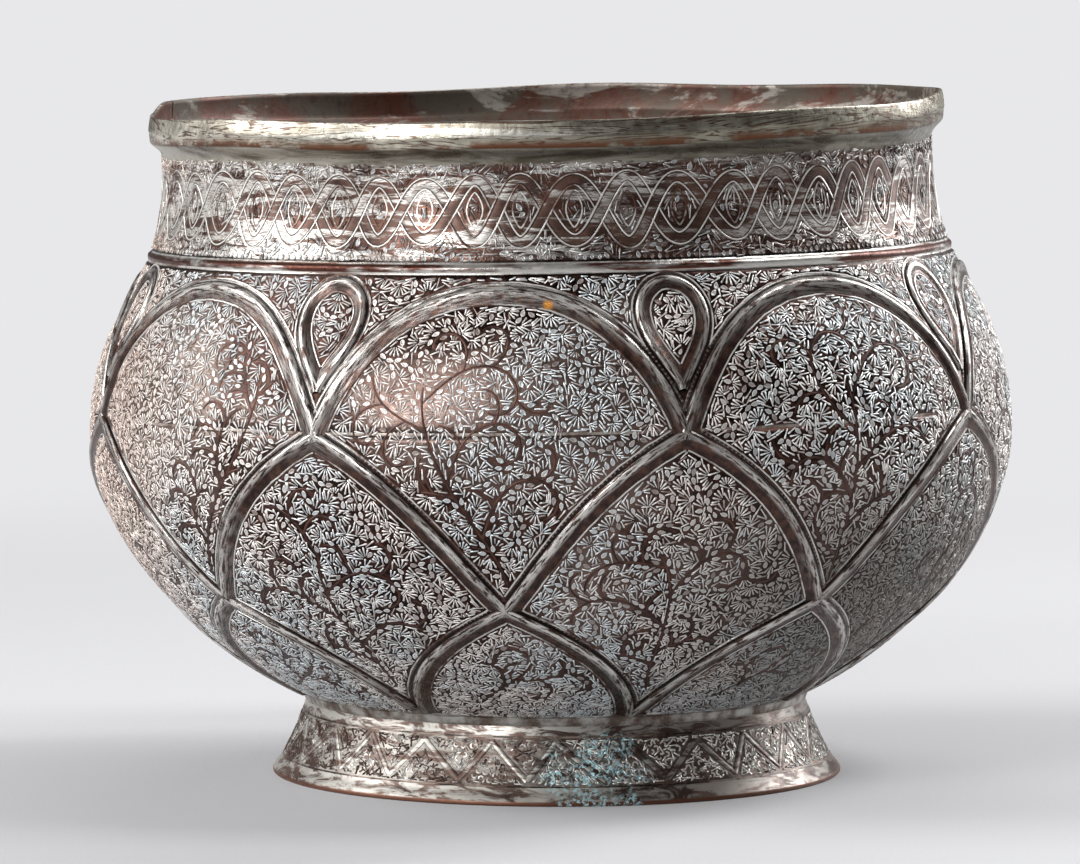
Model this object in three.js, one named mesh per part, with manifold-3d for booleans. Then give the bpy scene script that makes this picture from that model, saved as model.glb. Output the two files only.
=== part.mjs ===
// A large footed bowl of tinned copper: two raised sheets brazed round the belly, on a flared foot ring.
// Millimetres, +Z up. The origin is on the table under the middle of the belly.
// Angles go round from -Y towards +X, and a lobe of the chased lattice is centred on -Y.
import * as THREE from 'three';
import { mergeVertices } from 'three/addons/utils/BufferGeometryUtils.js';
import Module from 'manifold-3d';

const wasm = await Module();
wasm.setup();

// Sheet metal and joints
const bodyThickness = 1.2;
const footThickness = 1.4;
const seatGap = 0.3;

// Meridian of the body, outside
const bellyRadius = 160;
const bellyHeight = 119.5;
const shoulderBulge = 47;
const neckRadius = 133.1;
const neckHeight = 212;
const neckSweep = 43.5;
const lowerBulge = 38;
const seatRadius = 86.9;
const seatHeight = 28.2;
const seatSlope = 24;
const seatSweep = 38;
const bottomHeight = 14;
const dishSweep = 30;

// Rim: a plain neck band, a cove and an upright collar
const plainNeckLength = 5;
const coveLength = 6.5;
const collarReach = 4.2;
const collarHeight = 9.5;
const collarCrown = 0.4;
const crackAngle = -97.5;
const crackWidth = 0.9;
const crackDepth = 7;

// Brazed seam round the body, a little over the belly
const seamRise = 10.2;
const seamWidth = 0.9;

// Raised moulding under the engraved neck band
const neckBandLength = 29.5;
const mouldingWidth = 3.6;
const mouldingRise = 0.7;

// Two plaited straps in low relief round the neck band
const strapWaves = 24;
const strapSwing = 10.4;
const strapWidth = 4.6;
const strapRise = 0.35;
const strapEdge = 0.3;
const strapRoom = 19.2;

// Chased lattice: arches above the seam, pointed lobes below it, low arches over the foot
const lobeCount = 8;
const ribWidth = 6.4;
const ribRise = 1.3;
const nodeBelowSeam = 1.7;
const archBelowMoulding = 8;
const lowerNodeRise = 41.3;
const ribFootRise = 2.3;
const tearBelowMoulding = 4.8;
const tearLength = 33.5;
const tearShoulder = 10.2;
const tearWidth = 21;

// Foot ring, solder and the seam of the foot's strip
const footSpread = 12.2;
const flangeReach = 2.5;
const flangeRise = 2.7;
const flangeThickness = 1.7;
const solderFilm = 0.6;
const solderReach = 3.2;
const solderToe = 1.2;
const solderDrop = 2.4;
const footSeamAngle = 172;
const footSeamWidth = 1.5;

// The body leans on its foot, and the rim is bent
const leanSlope = 0.0157;
const leanStartHeight = 4;
const leanFullHeight = 110;
const rimBendHeight = 196;
const rimBackRise = 2.4;
const rimSideRise = 1.4;
const rimWave = 0.35;
const rimWaveCounts = [3, 5, 8];

// How finely the surfaces are cut up
const plainLines = 48;
const curveSteps = 40;
const archRows = 13;
const middleRows = 10;
const footRows = 7;
const leastStep = 0.35;
const strapColumns = 12;

const halfLobe = 180 / lobeCount;
const radians = THREE.MathUtils.degToRad;
const clamp = THREE.MathUtils.clamp;
const flat = (x, y) => new THREE.Vector2(x, y);

// Meridian curves run from the foot seat up to the neck, as radius and height
const slopeRun = Math.cos(radians(seatSlope));
const slopeClimb = Math.sin(radians(seatSlope));
const seatPoint = flat(seatRadius, seatHeight);
const bellyPoint = flat(bellyRadius, bellyHeight);
const neckPoint = flat(neckRadius, neckHeight);
const dishCurve = new THREE.CubicBezierCurve(
  flat(0, bottomHeight),
  flat(dishSweep, bottomHeight),
  flat(seatRadius - dishSweep * slopeRun, seatHeight - dishSweep * slopeClimb),
  seatPoint,
);
const lowerCurve = new THREE.CubicBezierCurve(
  seatPoint,
  flat(seatRadius + seatSweep * slopeRun, seatHeight + seatSweep * slopeClimb),
  flat(bellyRadius, bellyHeight - lowerBulge),
  bellyPoint,
);
const upperCurve = new THREE.CubicBezierCurve(
  bellyPoint,
  flat(bellyRadius, bellyHeight + shoulderBulge),
  flat(neckRadius, neckHeight - neckSweep),
  neckPoint,
);
const collarBase = neckHeight + plainNeckLength + coveLength;
const collarRadius = neckRadius + collarReach;
const rimHeight = collarBase + collarHeight;

// Heights that follow from the sizes above
const seamHeight = bellyHeight + seamRise;
const mouldingHeight = neckHeight - neckBandLength;
const upperNodeHeight = seamHeight - nodeBelowSeam;
const lowerNodeHeight = seatHeight + lowerNodeRise;
const ribFootHeight = seatHeight + ribFootRise;
const archHeight = mouldingHeight - archBelowMoulding;
const tearTopHeight = mouldingHeight - tearBelowMoulding;
const tearTipHeight = tearTopHeight - tearLength;
const tearWidestHeight = tearTopHeight - tearShoulder;

// Lattice line across half a lobe, as angle from the lobe's middle and height. Its two handles are
// given as shares of the half lobe and of the climb.
function latticeCurve(start, end, firstHandle, secondHandle) {
  const handle = ([across, up]) => flat(halfLobe * across, THREE.MathUtils.lerp(start.y, end.y, up));
  return new THREE.CubicBezierCurve(start, handle(firstHandle), handle(secondHandle), end);
}
const upperNode = flat(halfLobe, upperNodeHeight);
const lowerNode = flat(0, lowerNodeHeight);
const ribFoot = flat(halfLobe * 0.96, ribFootHeight);
const archCurve = latticeCurve(upperNode, flat(0, archHeight), [0.87, 0.51], [0.6, 1]);
const middleCurve = latticeCurve(lowerNode, upperNode, [0.24, 0.25], [0.47, 0.73]);
const lowCurve = latticeCurve(ribFoot, lowerNode, [0.76, 0.41], [0.4, 0.73]);

// Value at one place along a rising list of points, by straight lines between them
function lookUp(points, at, from, read) {
  const above = points.findIndex((point) => point[from] >= at);
  if (above < 0) return points[points.length - 1][read];
  if (above === 0) return points[0][read];
  const low = points[above - 1];
  const high = points[above];
  const share = (at - low[from]) / (high[from] - low[from]);
  return THREE.MathUtils.lerp(low[read], high[read], share);
}

const meridian = [...lowerCurve.getPoints(curveSteps), ...upperCurve.getPoints(curveSteps).slice(1)];
const latticeLine = [
  ...lowCurve.getPoints(curveSteps),
  ...middleCurve.getPoints(curveSteps).slice(1),
  ...archCurve.getPoints(curveSteps).slice(1),
];
const radiusAt = (height) => lookUp(meridian, height, 'y', 'x');
const ribAngleAt = (height) => lookUp(latticeLine, height, 'y', 'x');

// Half width of the teardrop's line at one height, in degrees round the body
function tearAngleAt(height) {
  const half = THREE.MathUtils.radToDeg(tearWidth / 2 / radiusAt(tearWidestHeight));
  if (height <= tearTipHeight || height >= tearTopHeight) return 0;
  if (height >= tearWidestHeight) {
    const climb = (height - tearWidestHeight) / (tearTopHeight - tearWidestHeight);
    return half * Math.sqrt(1 - climb * climb);
  }
  const share = (height - tearTipHeight) / (tearWidestHeight - tearTipHeight);
  return half * Math.sin((share * Math.PI) / 2) ** 1.3;
}

// Point in space of a radius, an angle in degrees and a height
function placed(radius, angle, height) {
  const turn = radians(angle);
  return new THREE.Vector3(radius * Math.sin(turn), -radius * Math.cos(turn), height);
}

// The same sideways slump and bent rim for every piece, so that neighbours stay a gap apart
function settled(point) {
  const round = Math.atan2(point.x, -point.y);
  const lean = leanSlope * THREE.MathUtils.smoothstep(point.z, leanStartHeight, leanFullHeight);
  const bend = THREE.MathUtils.smoothstep(point.z, rimBendHeight, rimHeight);
  const wave = rimWaveCounts.reduce((sum, count) => sum + Math.sin(count * round + count), 0);
  const lift = (rimBackRise * point.y + rimSideRise * point.x) / neckRadius + wave * rimWave;
  return new THREE.Vector3(
    point.x + (bellyHeight - point.z) * leanSlope,
    point.y,
    point.z + point.x * lean + lift * bend,
  );
}

// Centre lines of the chased ribs, as points on the plain body round one half lobe and its neighbours
function chasedPoints() {
  const tear = Array.from({ length: curveSteps + 1 }, (_, step) => {
    const height = THREE.MathUtils.lerp(tearTipHeight, tearTopHeight, step / curveSteps);
    return flat(halfLobe - tearAngleAt(height), height);
  });
  const half = [...latticeLine, ...tear];
  const mirrored = half.flatMap((spot) => [
    spot,
    flat(-spot.x, spot.y),
    flat(2 * halfLobe - spot.x, spot.y),
  ]);
  return mirrored.map((spot) => placed(radiusAt(spot.y), spot.x, spot.y));
}
const chased = chasedPoints();

// How far the sheet is raised over its plain shape, by the distance to the nearest chased line
function ribRiseAt(angle, height) {
  const here = placed(radiusAt(height), angle, height);
  const near = Math.min(...chased.map((point) => point.distanceTo(here)));
  const share = clamp(near / (ribWidth / 2), 0, 1);
  return ribRise * Math.cos((share * Math.PI) / 2) ** 2;
}

// Angles of the mesh lines across half a lobe: they follow the rib and the teardrop
function halfLobeAngles(height, inLattice) {
  const degreesPerMm = THREE.MathUtils.radToDeg(1 / radiusAt(height));
  const reach = (ribWidth / 2) * degreesPerMm;
  const rib = inLattice ? ribAngleAt(height) : halfLobe * 0.45;
  const middle = clamp(rib, leastStep * 4, halfLobe - leastStep * 6);
  const left = Math.max(middle - reach, middle * 0.7);
  const right = Math.min(middle + reach, THREE.MathUtils.lerp(middle, halfLobe, 0.3));
  const room = halfLobe - right;
  const tear = tearAngleAt(height);
  const ring = tear > 0 ? halfLobe - Math.max(tear, leastStep * 3) : halfLobe - room * 0.35;
  const outside = Math.max(ring - reach, THREE.MathUtils.lerp(right, ring, 0.6));
  const inside = Math.min(ring + reach, THREE.MathUtils.lerp(ring, halfLobe, 0.6));
  const between = (right + outside) / 2;
  return [0, left / 3, (left * 2) / 3, left, middle, right, between, outside, ring, inside, halfLobe];
}

// Whole ring of points on the chased surface at one height
function chasedRing(height, inLattice = true) {
  const half = halfLobeAngles(height, inLattice);
  const slope = (radiusAt(height + 1) - radiusAt(height - 1)) / 2;
  const lean = 1 / Math.hypot(1, slope);
  const lobe = [...half.slice(0, -1), ...half.slice(1).reverse().map((angle) => 2 * halfLobe - angle)];
  const rises = lobe.map((angle) => ribRiseAt(angle > halfLobe ? 2 * halfLobe - angle : angle, height));
  return Array.from({ length: lobeCount }, (_, turn) =>
    lobe.map((angle, index) =>
      placed(
        radiusAt(height) + rises[index] * lean,
        angle + turn * 2 * halfLobe,
        height - rises[index] * lean * slope,
      ),
    ),
  ).flat();
}

// The plait is drawn by hand, so its waves aren't all of one length and height
function strapPhase(turn) {
  const drift = 0.35 * Math.sin(3 * turn) + 0.3 * Math.sin(5 * turn + 1) + 0.12 * Math.sin(19 * turn);
  return turn * strapWaves + drift;
}

// Turn at which the plait reaches one phase, by halving the span that holds it
function turnAtPhase(phase) {
  let low = -0.1;
  let high = 2 * Math.PI;
  for (let step = 0; step < 40; step += 1) {
    const middle = (low + high) / 2;
    if (strapPhase(middle) < phase) low = middle;
    else high = middle;
  }
  return (low + high) / 2;
}

// Heights and rises up one column of the plait: the edges of both straps, or of one where they cross
function strapColumn(turn) {
  const phase = strapPhase(turn);
  const swell = 1 + 0.05 * Math.sin(7 * turn) + 0.05 * Math.sin(17 * turn + 2);
  const swing = strapSwing * swell;
  const steepness = (swing * strapWaves * Math.cos(phase)) / neckRadius;
  const half = (strapWidth / 2) * Math.hypot(1, steepness);
  const away = Math.abs(swing * Math.sin(phase));
  const eye = away - half;
  const isOpen = eye > strapEdge * 2;
  const gap = Math.max(eye, strapEdge * 2);
  const eyeRise = isOpen ? 0 : strapRise;
  const upper = [
    [gap - strapEdge, eyeRise],
    [gap + strapEdge, strapRise],
    [away + half - strapEdge, strapRise],
    [away + half + strapEdge, 0],
  ];
  return [...upper.map(([reach, rise]) => [-reach, rise]).reverse(), ...upper];
}

// Rings over the neck band that step up and down along the edges of the straps
function strapRings() {
  const middle = mouldingHeight + strapRoom;
  const count = strapWaves * strapColumns;
  const start = Math.ceil((strapPhase(0) * strapColumns) / (2 * Math.PI));
  const columns = Array.from({ length: count }, (_, index) => {
    const turn = turnAtPhase(((start + index) * 2 * Math.PI) / strapColumns);
    return strapColumn(turn).map(([reach, rise]) => {
      const height = middle + reach;
      const slope = (radiusAt(height + 1) - radiusAt(height - 1)) / 2;
      const lean = rise / Math.hypot(1, slope);
      return placed(radiusAt(height) + lean, THREE.MathUtils.radToDeg(turn), height - lean * slope);
    });
  });
  return columns[0].map((_, row) => columns.map((column) => column[row]));
}

// Whole ring of evenly spaced points
function plainRing(spot, count = plainLines) {
  return Array.from({ length: count }, (_, index) => placed(spot.x, (360 * index) / count, spot.y));
}

// A curve's points moved inwards, square to the curve, by one thickness
function offsetPoints(curve, steps, distance) {
  return Array.from({ length: steps + 1 }, (_, step) => {
    const along = curve.getTangent(step / steps);
    const point = curve.getPoint(step / steps);
    return flat(point.x - along.y * distance, point.y + along.x * distance);
  });
}

// Share of a full turn, from -Y towards +X, at which a point stands
function turnOf(point) {
  return (Math.atan2(point.x, -point.y) / (2 * Math.PI) + 1) % 1;
}

// Triangles between two rings that may have different counts, going round both by angle. Each ring is
// a list of vertex numbers and turns that starts at -Y.
function stitch(lower, upper, addFace) {
  const turnAfter = (ring, index) => (index + 1 < ring.length ? ring[index + 1].turn : 1);
  const numberAt = (ring, index) => ring[index % ring.length].number;
  let low = 0;
  let high = 0;
  while (low < lower.length || high < upper.length) {
    const lowIsNext = low < lower.length && turnAfter(lower, low) <= turnAfter(upper, high);
    if (high >= upper.length || lowIsNext) {
      addFace(numberAt(lower, low), numberAt(lower, low + 1), numberAt(upper, high));
      low += 1;
    } else {
      addFace(numberAt(lower, low), numberAt(upper, high + 1), numberAt(upper, high));
      high += 1;
    }
  }
}

// Triangles between two rings of one count, point by point, so that they follow the chased lines
function pairUp(lower, upper, addFace) {
  lower.forEach((spot, step) => {
    const next = (step + 1) % lower.length;
    addFace(spot.number, lower[next].number, upper[step].number);
    addFace(lower[next].number, upper[next].number, upper[step].number);
  });
}

// Closed body from rings that follow each other round its section. A ring of one point is a pole.
function closedSkin(rings) {
  const position = [];
  const faces = [];
  const numbered = rings.map((ring) =>
    ring.map((point) => {
      const moved = settled(point);
      position.push(moved.x, moved.y, moved.z);
      return { number: position.length / 3 - 1, turn: turnOf(point) };
    }),
  );
  const addFace = (first, second, third) => faces.push(first, second, third);
  const openEnded = rings[0].length === 1;
  const joins = openEnded ? rings.length - 1 : rings.length;
  for (let index = 0; index < joins; index += 1) {
    const lower = numbered[index];
    const upper = numbered[(index + 1) % rings.length];
    if (lower.length === 1) {
      const pole = lower[0].number;
      upper.forEach((spot, step) => addFace(pole, upper[(step + 1) % upper.length].number, spot.number));
    } else if (upper.length === 1) {
      const pole = upper[0].number;
      lower.forEach((spot, step) => addFace(spot.number, lower[(step + 1) % lower.length].number, pole));
    } else if (upper.length === lower.length) {
      pairUp(lower, upper, addFace);
    } else {
      stitch(lower, upper, addFace);
    }
  }
  const geometry = new THREE.BufferGeometry();
  geometry.setAttribute('position', new THREE.Float32BufferAttribute(position, 3));
  geometry.setIndex(faces);
  geometry.computeVertexNormals();
  return geometry;
}

// Ring of inner points under a chased ring, at the same angles and one radius all round
function innerSeamRing(height) {
  const inner = radiusAt(height) - bodyThickness;
  return chasedRing(height).map((point) => placed(inner, turnOf(point) * 360, height));
}

// Heights of the chased rows between two heights, closer together where the rib lies flat
function rowHeights(curve, rows, from, to) {
  return curve
    .getPoints(rows)
    .map((point) => point.y)
    .filter((height) => height > from + leastStep * 3 && height < to - leastStep * 3);
}

const seamLow = seamHeight - seamWidth / 2 - seatGap;
const seamHigh = seamHeight + seamWidth / 2 + seatGap;

// Bowl below the seam, with its dished bottom
function lowerBody() {
  const dishSteps = 5;
  const under = dishCurve.getPoints(dishSteps).slice(1).map((spot) => plainRing(spot));
  const heights = [
    ribFootHeight + leastStep,
    ...rowHeights(lowCurve, footRows, ribFootHeight, lowerNodeHeight),
    lowerNodeHeight,
    ...rowHeights(middleCurve, middleRows, lowerNodeHeight, upperNodeHeight),
    upperNodeHeight,
    seamLow,
  ];
  const wall = offsetPoints(lowerCurve, 7, bodyThickness).reverse();
  const floor = offsetPoints(dishCurve, dishSteps, bodyThickness).reverse();
  const inner = [...wall.slice(1), ...floor.slice(1, -1)].map((spot) => plainRing(spot));
  return closedSkin([
    [placed(0, 0, bottomHeight)],
    ...under,
    ...heights.map((height) => chasedRing(height)),
    innerSeamRing(seamLow),
    ...inner,
    [placed(0, 0, bottomHeight + bodyThickness)],
  ]);
}

// Outline of the rim above the neck, outside and then inside
function rimOutline() {
  const lip = flat(collarRadius, collarBase);
  const plainTop = flat(neckRadius, neckHeight + plainNeckLength);
  const cove = new THREE.CubicBezierCurve(
    plainTop,
    flat(neckRadius, plainTop.y + coveLength * 0.6),
    flat(collarRadius - collarReach * 0.2, collarBase - coveLength * 0.25),
    lip,
  );
  const collar = new THREE.QuadraticBezierCurve(
    lip,
    flat(collarRadius + collarCrown * 2, collarBase + collarHeight * 0.4),
    flat(collarRadius - collarCrown, rimHeight),
  );
  const outside = [...cove.getPoints(4), ...collar.getPoints(4).slice(1)];
  const inside = [
    ...offsetPoints(collar, 2, bodyThickness).reverse(),
    ...offsetPoints(cove, 3, bodyThickness).reverse().slice(1),
  ];
  return { outside, inside };
}

// Bowl above the seam: shoulder, neck and rim
function upperBody() {
  const latticeTop = archHeight + ribWidth / 2;
  const heights = [
    seamHigh,
    ...rowHeights(archCurve, archRows, seamHigh, archHeight),
    archHeight,
    latticeTop,
  ];
  const mouldingFoot = mouldingHeight - mouldingWidth / 2;
  const mouldingTop = mouldingHeight + mouldingWidth / 2;
  const moulding = [
    flat(radiusAt(mouldingFoot), mouldingFoot),
    flat(radiusAt(mouldingHeight) + mouldingRise, mouldingHeight),
    flat(radiusAt(mouldingTop), mouldingTop),
  ];
  const rim = rimOutline();
  const wall = offsetPoints(upperCurve, 8, bodyThickness).reverse();
  const inner = wall.filter((spot) => spot.y > seamHigh + leastStep * 3);
  return closedSkin([
    ...heights.map((height) => chasedRing(height, height < archHeight)),
    ...moulding.map((spot) => plainRing(spot)),
    ...strapRings(),
    ...[...rim.outside, ...rim.inside, ...inner].map((spot) => plainRing(spot)),
    innerSeamRing(seamHigh),
  ]);
}

// Braze metal that fills the seam between the two sheets
function bellyBraze() {
  const low = seamHeight - seamWidth / 2;
  const high = seamHeight + seamWidth / 2;
  return closedSkin([chasedRing(low), chasedRing(high), innerSeamRing(high), innerSeamRing(low)]);
}

// Height of the underside of the body at a radius near the foot seat
const underside = [...dishCurve.getPoints(curveSteps), ...lowerCurve.getPoints(curveSteps).slice(1)];
const undersideAt = (radius) => lookUp(underside, radius, 'x', 'y');

const flangeRadius = seatRadius + footSpread;
const footTopHeight = undersideAt(seatRadius - footThickness) - solderFilm - seatGap * 2;
const waist = flat(flangeRadius - flangeReach, flangeThickness + flangeRise);
const footRise = footTopHeight - waist.y;
const footCurve = new THREE.CubicBezierCurve(
  waist,
  flat(waist.x - footRise * 0.21, waist.y + footRise * 0.32),
  flat(seatRadius + footRise * 0.08, footTopHeight - footRise * 0.3),
  flat(seatRadius, footTopHeight),
);

// Flared strip that the bowl stands on, with a flat underside
function footRing() {
  const steps = 5;
  const edge = [flat(flangeRadius, 0), flat(flangeRadius, flangeThickness)];
  const inside = offsetPoints(footCurve, steps, footThickness).reverse();
  const heel = flat(inside[inside.length - 1].x + flangeReach * 0.15, 0);
  return closedSkin([...edge, ...footCurve.getPoints(steps), ...inside, heel].map((spot) => plainRing(spot)));
}

// Solder run in the corner between the body and the foot, over the foot's top edge
function footSolder() {
  const outerWall = seatRadius + seatGap;
  const innerWall = seatRadius - footThickness - seatGap;
  const overTop = footTopHeight + seatGap;
  const onBody = (radius) => flat(radius, undersideAt(radius) - seatGap);
  const outline = [
    onBody(innerWall - solderReach),
    flat(innerWall, footTopHeight - solderDrop),
    flat(innerWall, overTop),
    flat(outerWall, overTop),
    onBody(outerWall + solderToe),
    onBody(seatRadius - footThickness / 2),
  ];
  return closedSkin(outline.map((spot) => plainRing(spot)));
}

// three.js geometry to a solid, and back
function solidOf(geometry) {
  const bare = geometry.clone();
  bare.deleteAttribute('normal');
  const merged = mergeVertices(bare);
  return new wasm.Manifold(
    new wasm.Mesh({
      numProp: 3,
      vertProperties: new Float32Array(merged.getAttribute('position').array),
      triVerts: new Uint32Array(merged.getIndex().array),
    }),
  );
}

function geometryOf(solid) {
  const mesh = solid.getMesh();
  const geometry = new THREE.BufferGeometry();
  geometry.setAttribute('position', new THREE.Float32BufferAttribute(mesh.vertProperties, 3));
  geometry.setIndex(Array.from(mesh.triVerts));
  geometry.computeVertexNormals();
  return geometry;
}

// Upright slab across one wall, for cutting a slot in it
function slab(width, depth, low, high, radius, angle) {
  const box = new THREE.BoxGeometry(width, depth, high - low);
  box.deleteAttribute('uv');
  box.rotateZ(radians(angle));
  const place = placed(radius, angle, (low + high) / 2);
  const middle = (bellyHeight - place.z) * leanSlope;
  box.translate(place.x + middle, place.y, place.z);
  return box;
}

// The old split in the rim, open at the top edge
function crackedUpperBody() {
  const top = rimHeight + rimBackRise + rimSideRise + rimWave * rimWaveCounts.length + ribWidth;
  const cut = slab(crackWidth, collarReach * 4, rimHeight - crackDepth, top, collarRadius, crackAngle);
  return geometryOf(solidOf(upperBody()).subtract(solidOf(cut)));
}

// The foot's strip is cut open at its seam, and the braze is what fitted in the cut
function footPieces() {
  const ring = solidOf(footRing());
  const depth = (footSpread + footThickness) * 4;
  const across = (width) =>
    solidOf(slab(width, depth, -footTopHeight, footTopHeight * 2, seatRadius, footSeamAngle));
  return {
    strip: geometryOf(ring.subtract(across(footSeamWidth + seatGap * 2))),
    braze: geometryOf(ring.intersect(across(footSeamWidth))),
  };
}

function metal(color, roughness, metalness) {
  return new THREE.MeshStandardMaterial({ color, roughness, metalness });
}

const chasedCopper = metal(0x6b564c, 0.42, 0.85);
const tinnedCopper = metal(0x8f877c, 0.38, 0.85);
const brazeMetal = metal(0x9a8f7d, 0.5, 0.8);
const solderMetal = metal(0x8c8e8a, 0.55, 0.75);

function piece(name, geometry, material) {
  const mesh = new THREE.Mesh(geometry, material);
  mesh.name = name;
  return mesh;
}

const foot = footPieces();
const bowl = new THREE.Group();
bowl.add(
  piece('upper_body', crackedUpperBody(), chasedCopper),
  piece('lower_body', lowerBody(), chasedCopper),
  piece('belly_braze', bellyBraze(), brazeMetal),
  piece('foot_ring', foot.strip, tinnedCopper),
  piece('foot_seam_braze', foot.braze, brazeMetal),
  piece('foot_solder', footSolder(), solderMetal),
);

export default bowl;
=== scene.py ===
import math
import random

import bpy
import numpy as np
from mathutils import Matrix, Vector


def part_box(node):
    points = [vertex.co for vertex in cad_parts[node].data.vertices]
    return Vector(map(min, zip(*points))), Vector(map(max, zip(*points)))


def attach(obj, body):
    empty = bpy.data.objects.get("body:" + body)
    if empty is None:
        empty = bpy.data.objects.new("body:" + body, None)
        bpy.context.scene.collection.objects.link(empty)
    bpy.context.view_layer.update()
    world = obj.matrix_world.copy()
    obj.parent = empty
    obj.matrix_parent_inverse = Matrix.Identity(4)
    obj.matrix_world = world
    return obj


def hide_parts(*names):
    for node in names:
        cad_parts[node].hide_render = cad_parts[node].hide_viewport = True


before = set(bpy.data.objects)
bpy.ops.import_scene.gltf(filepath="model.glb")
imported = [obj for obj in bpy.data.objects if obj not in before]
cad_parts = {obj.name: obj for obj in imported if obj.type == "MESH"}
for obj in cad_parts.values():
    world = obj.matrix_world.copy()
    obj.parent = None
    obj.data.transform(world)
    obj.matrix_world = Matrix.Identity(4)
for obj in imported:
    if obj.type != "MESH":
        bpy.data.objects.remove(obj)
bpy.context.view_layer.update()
mm = 0.001
print("frame loaded")

# The two sheets of the body, in metres. Angles are degrees from -Y towards +X.
lowerLow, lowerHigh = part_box("lower_body")
footLow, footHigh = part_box("foot_ring")
bowl = {
    "bellyRadius": (lowerHigh.x - lowerLow.x) / 2,
    "bellyHeight": 119.5 * mm,
    "shoulderBulge": 47 * mm,
    "neckRadius": 133.1 * mm,
    "neckHeight": 212 * mm,
    "neckSweep": 43.5 * mm,
    "lowerBulge": 38 * mm,
    "seatRadius": 86.9 * mm,
    "seatHeight": 28.2 * mm,
    "seatSlope": math.radians(24),
    "seatSweep": 38 * mm,
    "bottomHeight": 14 * mm,
    "dishSweep": 30 * mm,
    "thickness": 1.2 * mm,
    "seamHeight": 129.7 * mm,
    "seamWidth": 0.9 * mm,
}
rim = {
    "plainNeck": 5 * mm,
    "cove": 6.5 * mm,
    "reach": 4.2 * mm,
    "height": 9.5 * mm,
    "crown": 0.4 * mm,
    "edgeRound": 0.3 * mm,
    "hemLow": 3.1 * mm,
    "hemStep": 0.28 * mm,
}
slump = {
    "slope": 0.0157,
    "startHeight": 4 * mm,
    "fullHeight": 110 * mm,
    "bendHeight": 196 * mm,
    "backRise": 2.4 * mm,
    "sideRise": 1.4 * mm,
    "wave": 0.35 * mm,
    "waveCounts": (3, 5, 8),
    "dent": 0.22 * mm,
    "dentWaves": ((7, 47, 0), (4, -31, 1), (11, 83, 0)),
    "dentHeights": (30 * mm, 60 * mm),
    "splitRise": 2.6 * mm,
    "splitNear": (86, 95),
    "splitFar": (-150, -105),
}


def bezier(points, count):
    share = np.linspace(0, 1, count)[:, None]
    corners = np.array(points, float)
    if len(corners) == 3:
        weights = ((1 - share) ** 2, 2 * (1 - share) * share, share**2)
    else:
        weights = (
            (1 - share) ** 3,
            3 * (1 - share) ** 2 * share,
            3 * (1 - share) * share**2,
            share**3,
        )
    return sum(weight * corner for weight, corner in zip(weights, corners))


def smooth(value, low, high):
    share = np.clip((value - low) / (high - low), 0, 1)
    return share * share * (3 - 2 * share)


# A profile is a line up the outside of a round piece, with its length measured from one of its points
def makeProfile(parts, zeroPart):
    line = np.vstack([parts[0]] + [part[1:] for part in parts[1:]])
    steps = np.hypot(*np.diff(line, axis=0).T)
    run = np.concatenate([[0], np.cumsum(steps)])
    start = sum(len(part) - 1 for part in parts[:zeroPart])
    run = run - run[start]
    ahead = np.gradient(line[:, 0], run), np.gradient(line[:, 1], run)
    size = np.hypot(*ahead)
    return {
        "run": run,
        "radius": line[:, 0],
        "height": line[:, 1],
        "outward": ahead[1] / size,
        "upward": -ahead[0] / size,
    }


def bodyProfile():
    def fromSeat(reach):
        return (
            bowl["seatRadius"] + reach * math.cos(bowl["seatSlope"]),
            bowl["seatHeight"] + reach * math.sin(bowl["seatSlope"]),
        )

    belly, bellyHeight = bowl["bellyRadius"], bowl["bellyHeight"]
    neck, neckHeight = bowl["neckRadius"], bowl["neckHeight"]
    dish = [(0, bowl["bottomHeight"]), (bowl["dishSweep"], bowl["bottomHeight"])]
    dish += [fromSeat(-bowl["dishSweep"]), fromSeat(0)]
    lower = [fromSeat(0), fromSeat(bowl["seatSweep"])]
    lower += [(belly, bellyHeight - bowl["lowerBulge"]), (belly, bellyHeight)]
    upper = [(belly, bellyHeight), (belly, bellyHeight + bowl["shoulderBulge"])]
    upper += [(neck, neckHeight - bowl["neckSweep"]), (neck, neckHeight)]
    coveFoot = neckHeight + rim["plainNeck"]
    lipHeight = coveFoot + rim["cove"]
    lip = neck + rim["reach"]
    cove = [(neck, coveFoot), (neck, coveFoot + rim["cove"] * 0.6)]
    cove += [(lip - rim["reach"] * 0.2, lipHeight - rim["cove"] * 0.25), (lip, lipHeight)]
    collar = [(lip, lipHeight), (lip + rim["crown"] * 2, lipHeight + rim["height"] * 0.4)]
    collar += [(lip - rim["crown"], lipHeight + rim["height"])]
    parts = [bezier(dish, 60), bezier(lower, 90), bezier(upper, 90)]
    parts += [np.array([(neck, neckHeight), (neck, coveFoot)]), bezier(cove, 24), bezier(collar, 24)]
    return makeProfile(parts, 1)


body = bodyProfile()
rimHeight = body["height"][-1]


# Sideways slump, bent rim and faint dents: the same for every piece, so that neighbours stay together
def settled(points):
    x, y, z = points[..., 0], points[..., 1], points[..., 2]
    turn = np.arctan2(x, -y)
    lean = slump["slope"] * smooth(z, slump["startHeight"], slump["fullHeight"])
    bend = smooth(z, slump["bendHeight"], rimHeight)
    wave = sum(np.sin(count * turn + count) for count in slump["waveCounts"])
    lift = (slump["backRise"] * y + slump["sideRise"] * x) / bowl["neckRadius"] + wave * slump["wave"]
    behind = smooth(-turn, *np.radians(slump["splitNear"])) * smooth(turn, *np.radians(slump["splitFar"]))
    lift = lift + slump["splitRise"] * behind
    beat = sum(np.sin(count * turn + z * climb + start) for count, climb, start in slump["dentWaves"])
    swell = 1 + slump["dent"] / bowl["bellyRadius"] * beat * smooth(z, *slump["dentHeights"])
    moved = (
        x * swell + (bowl["bellyHeight"] - z) * slump["slope"],
        y * swell,
        z + x * lean + lift * bend,
    )
    return np.stack(moved, -1)


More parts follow.
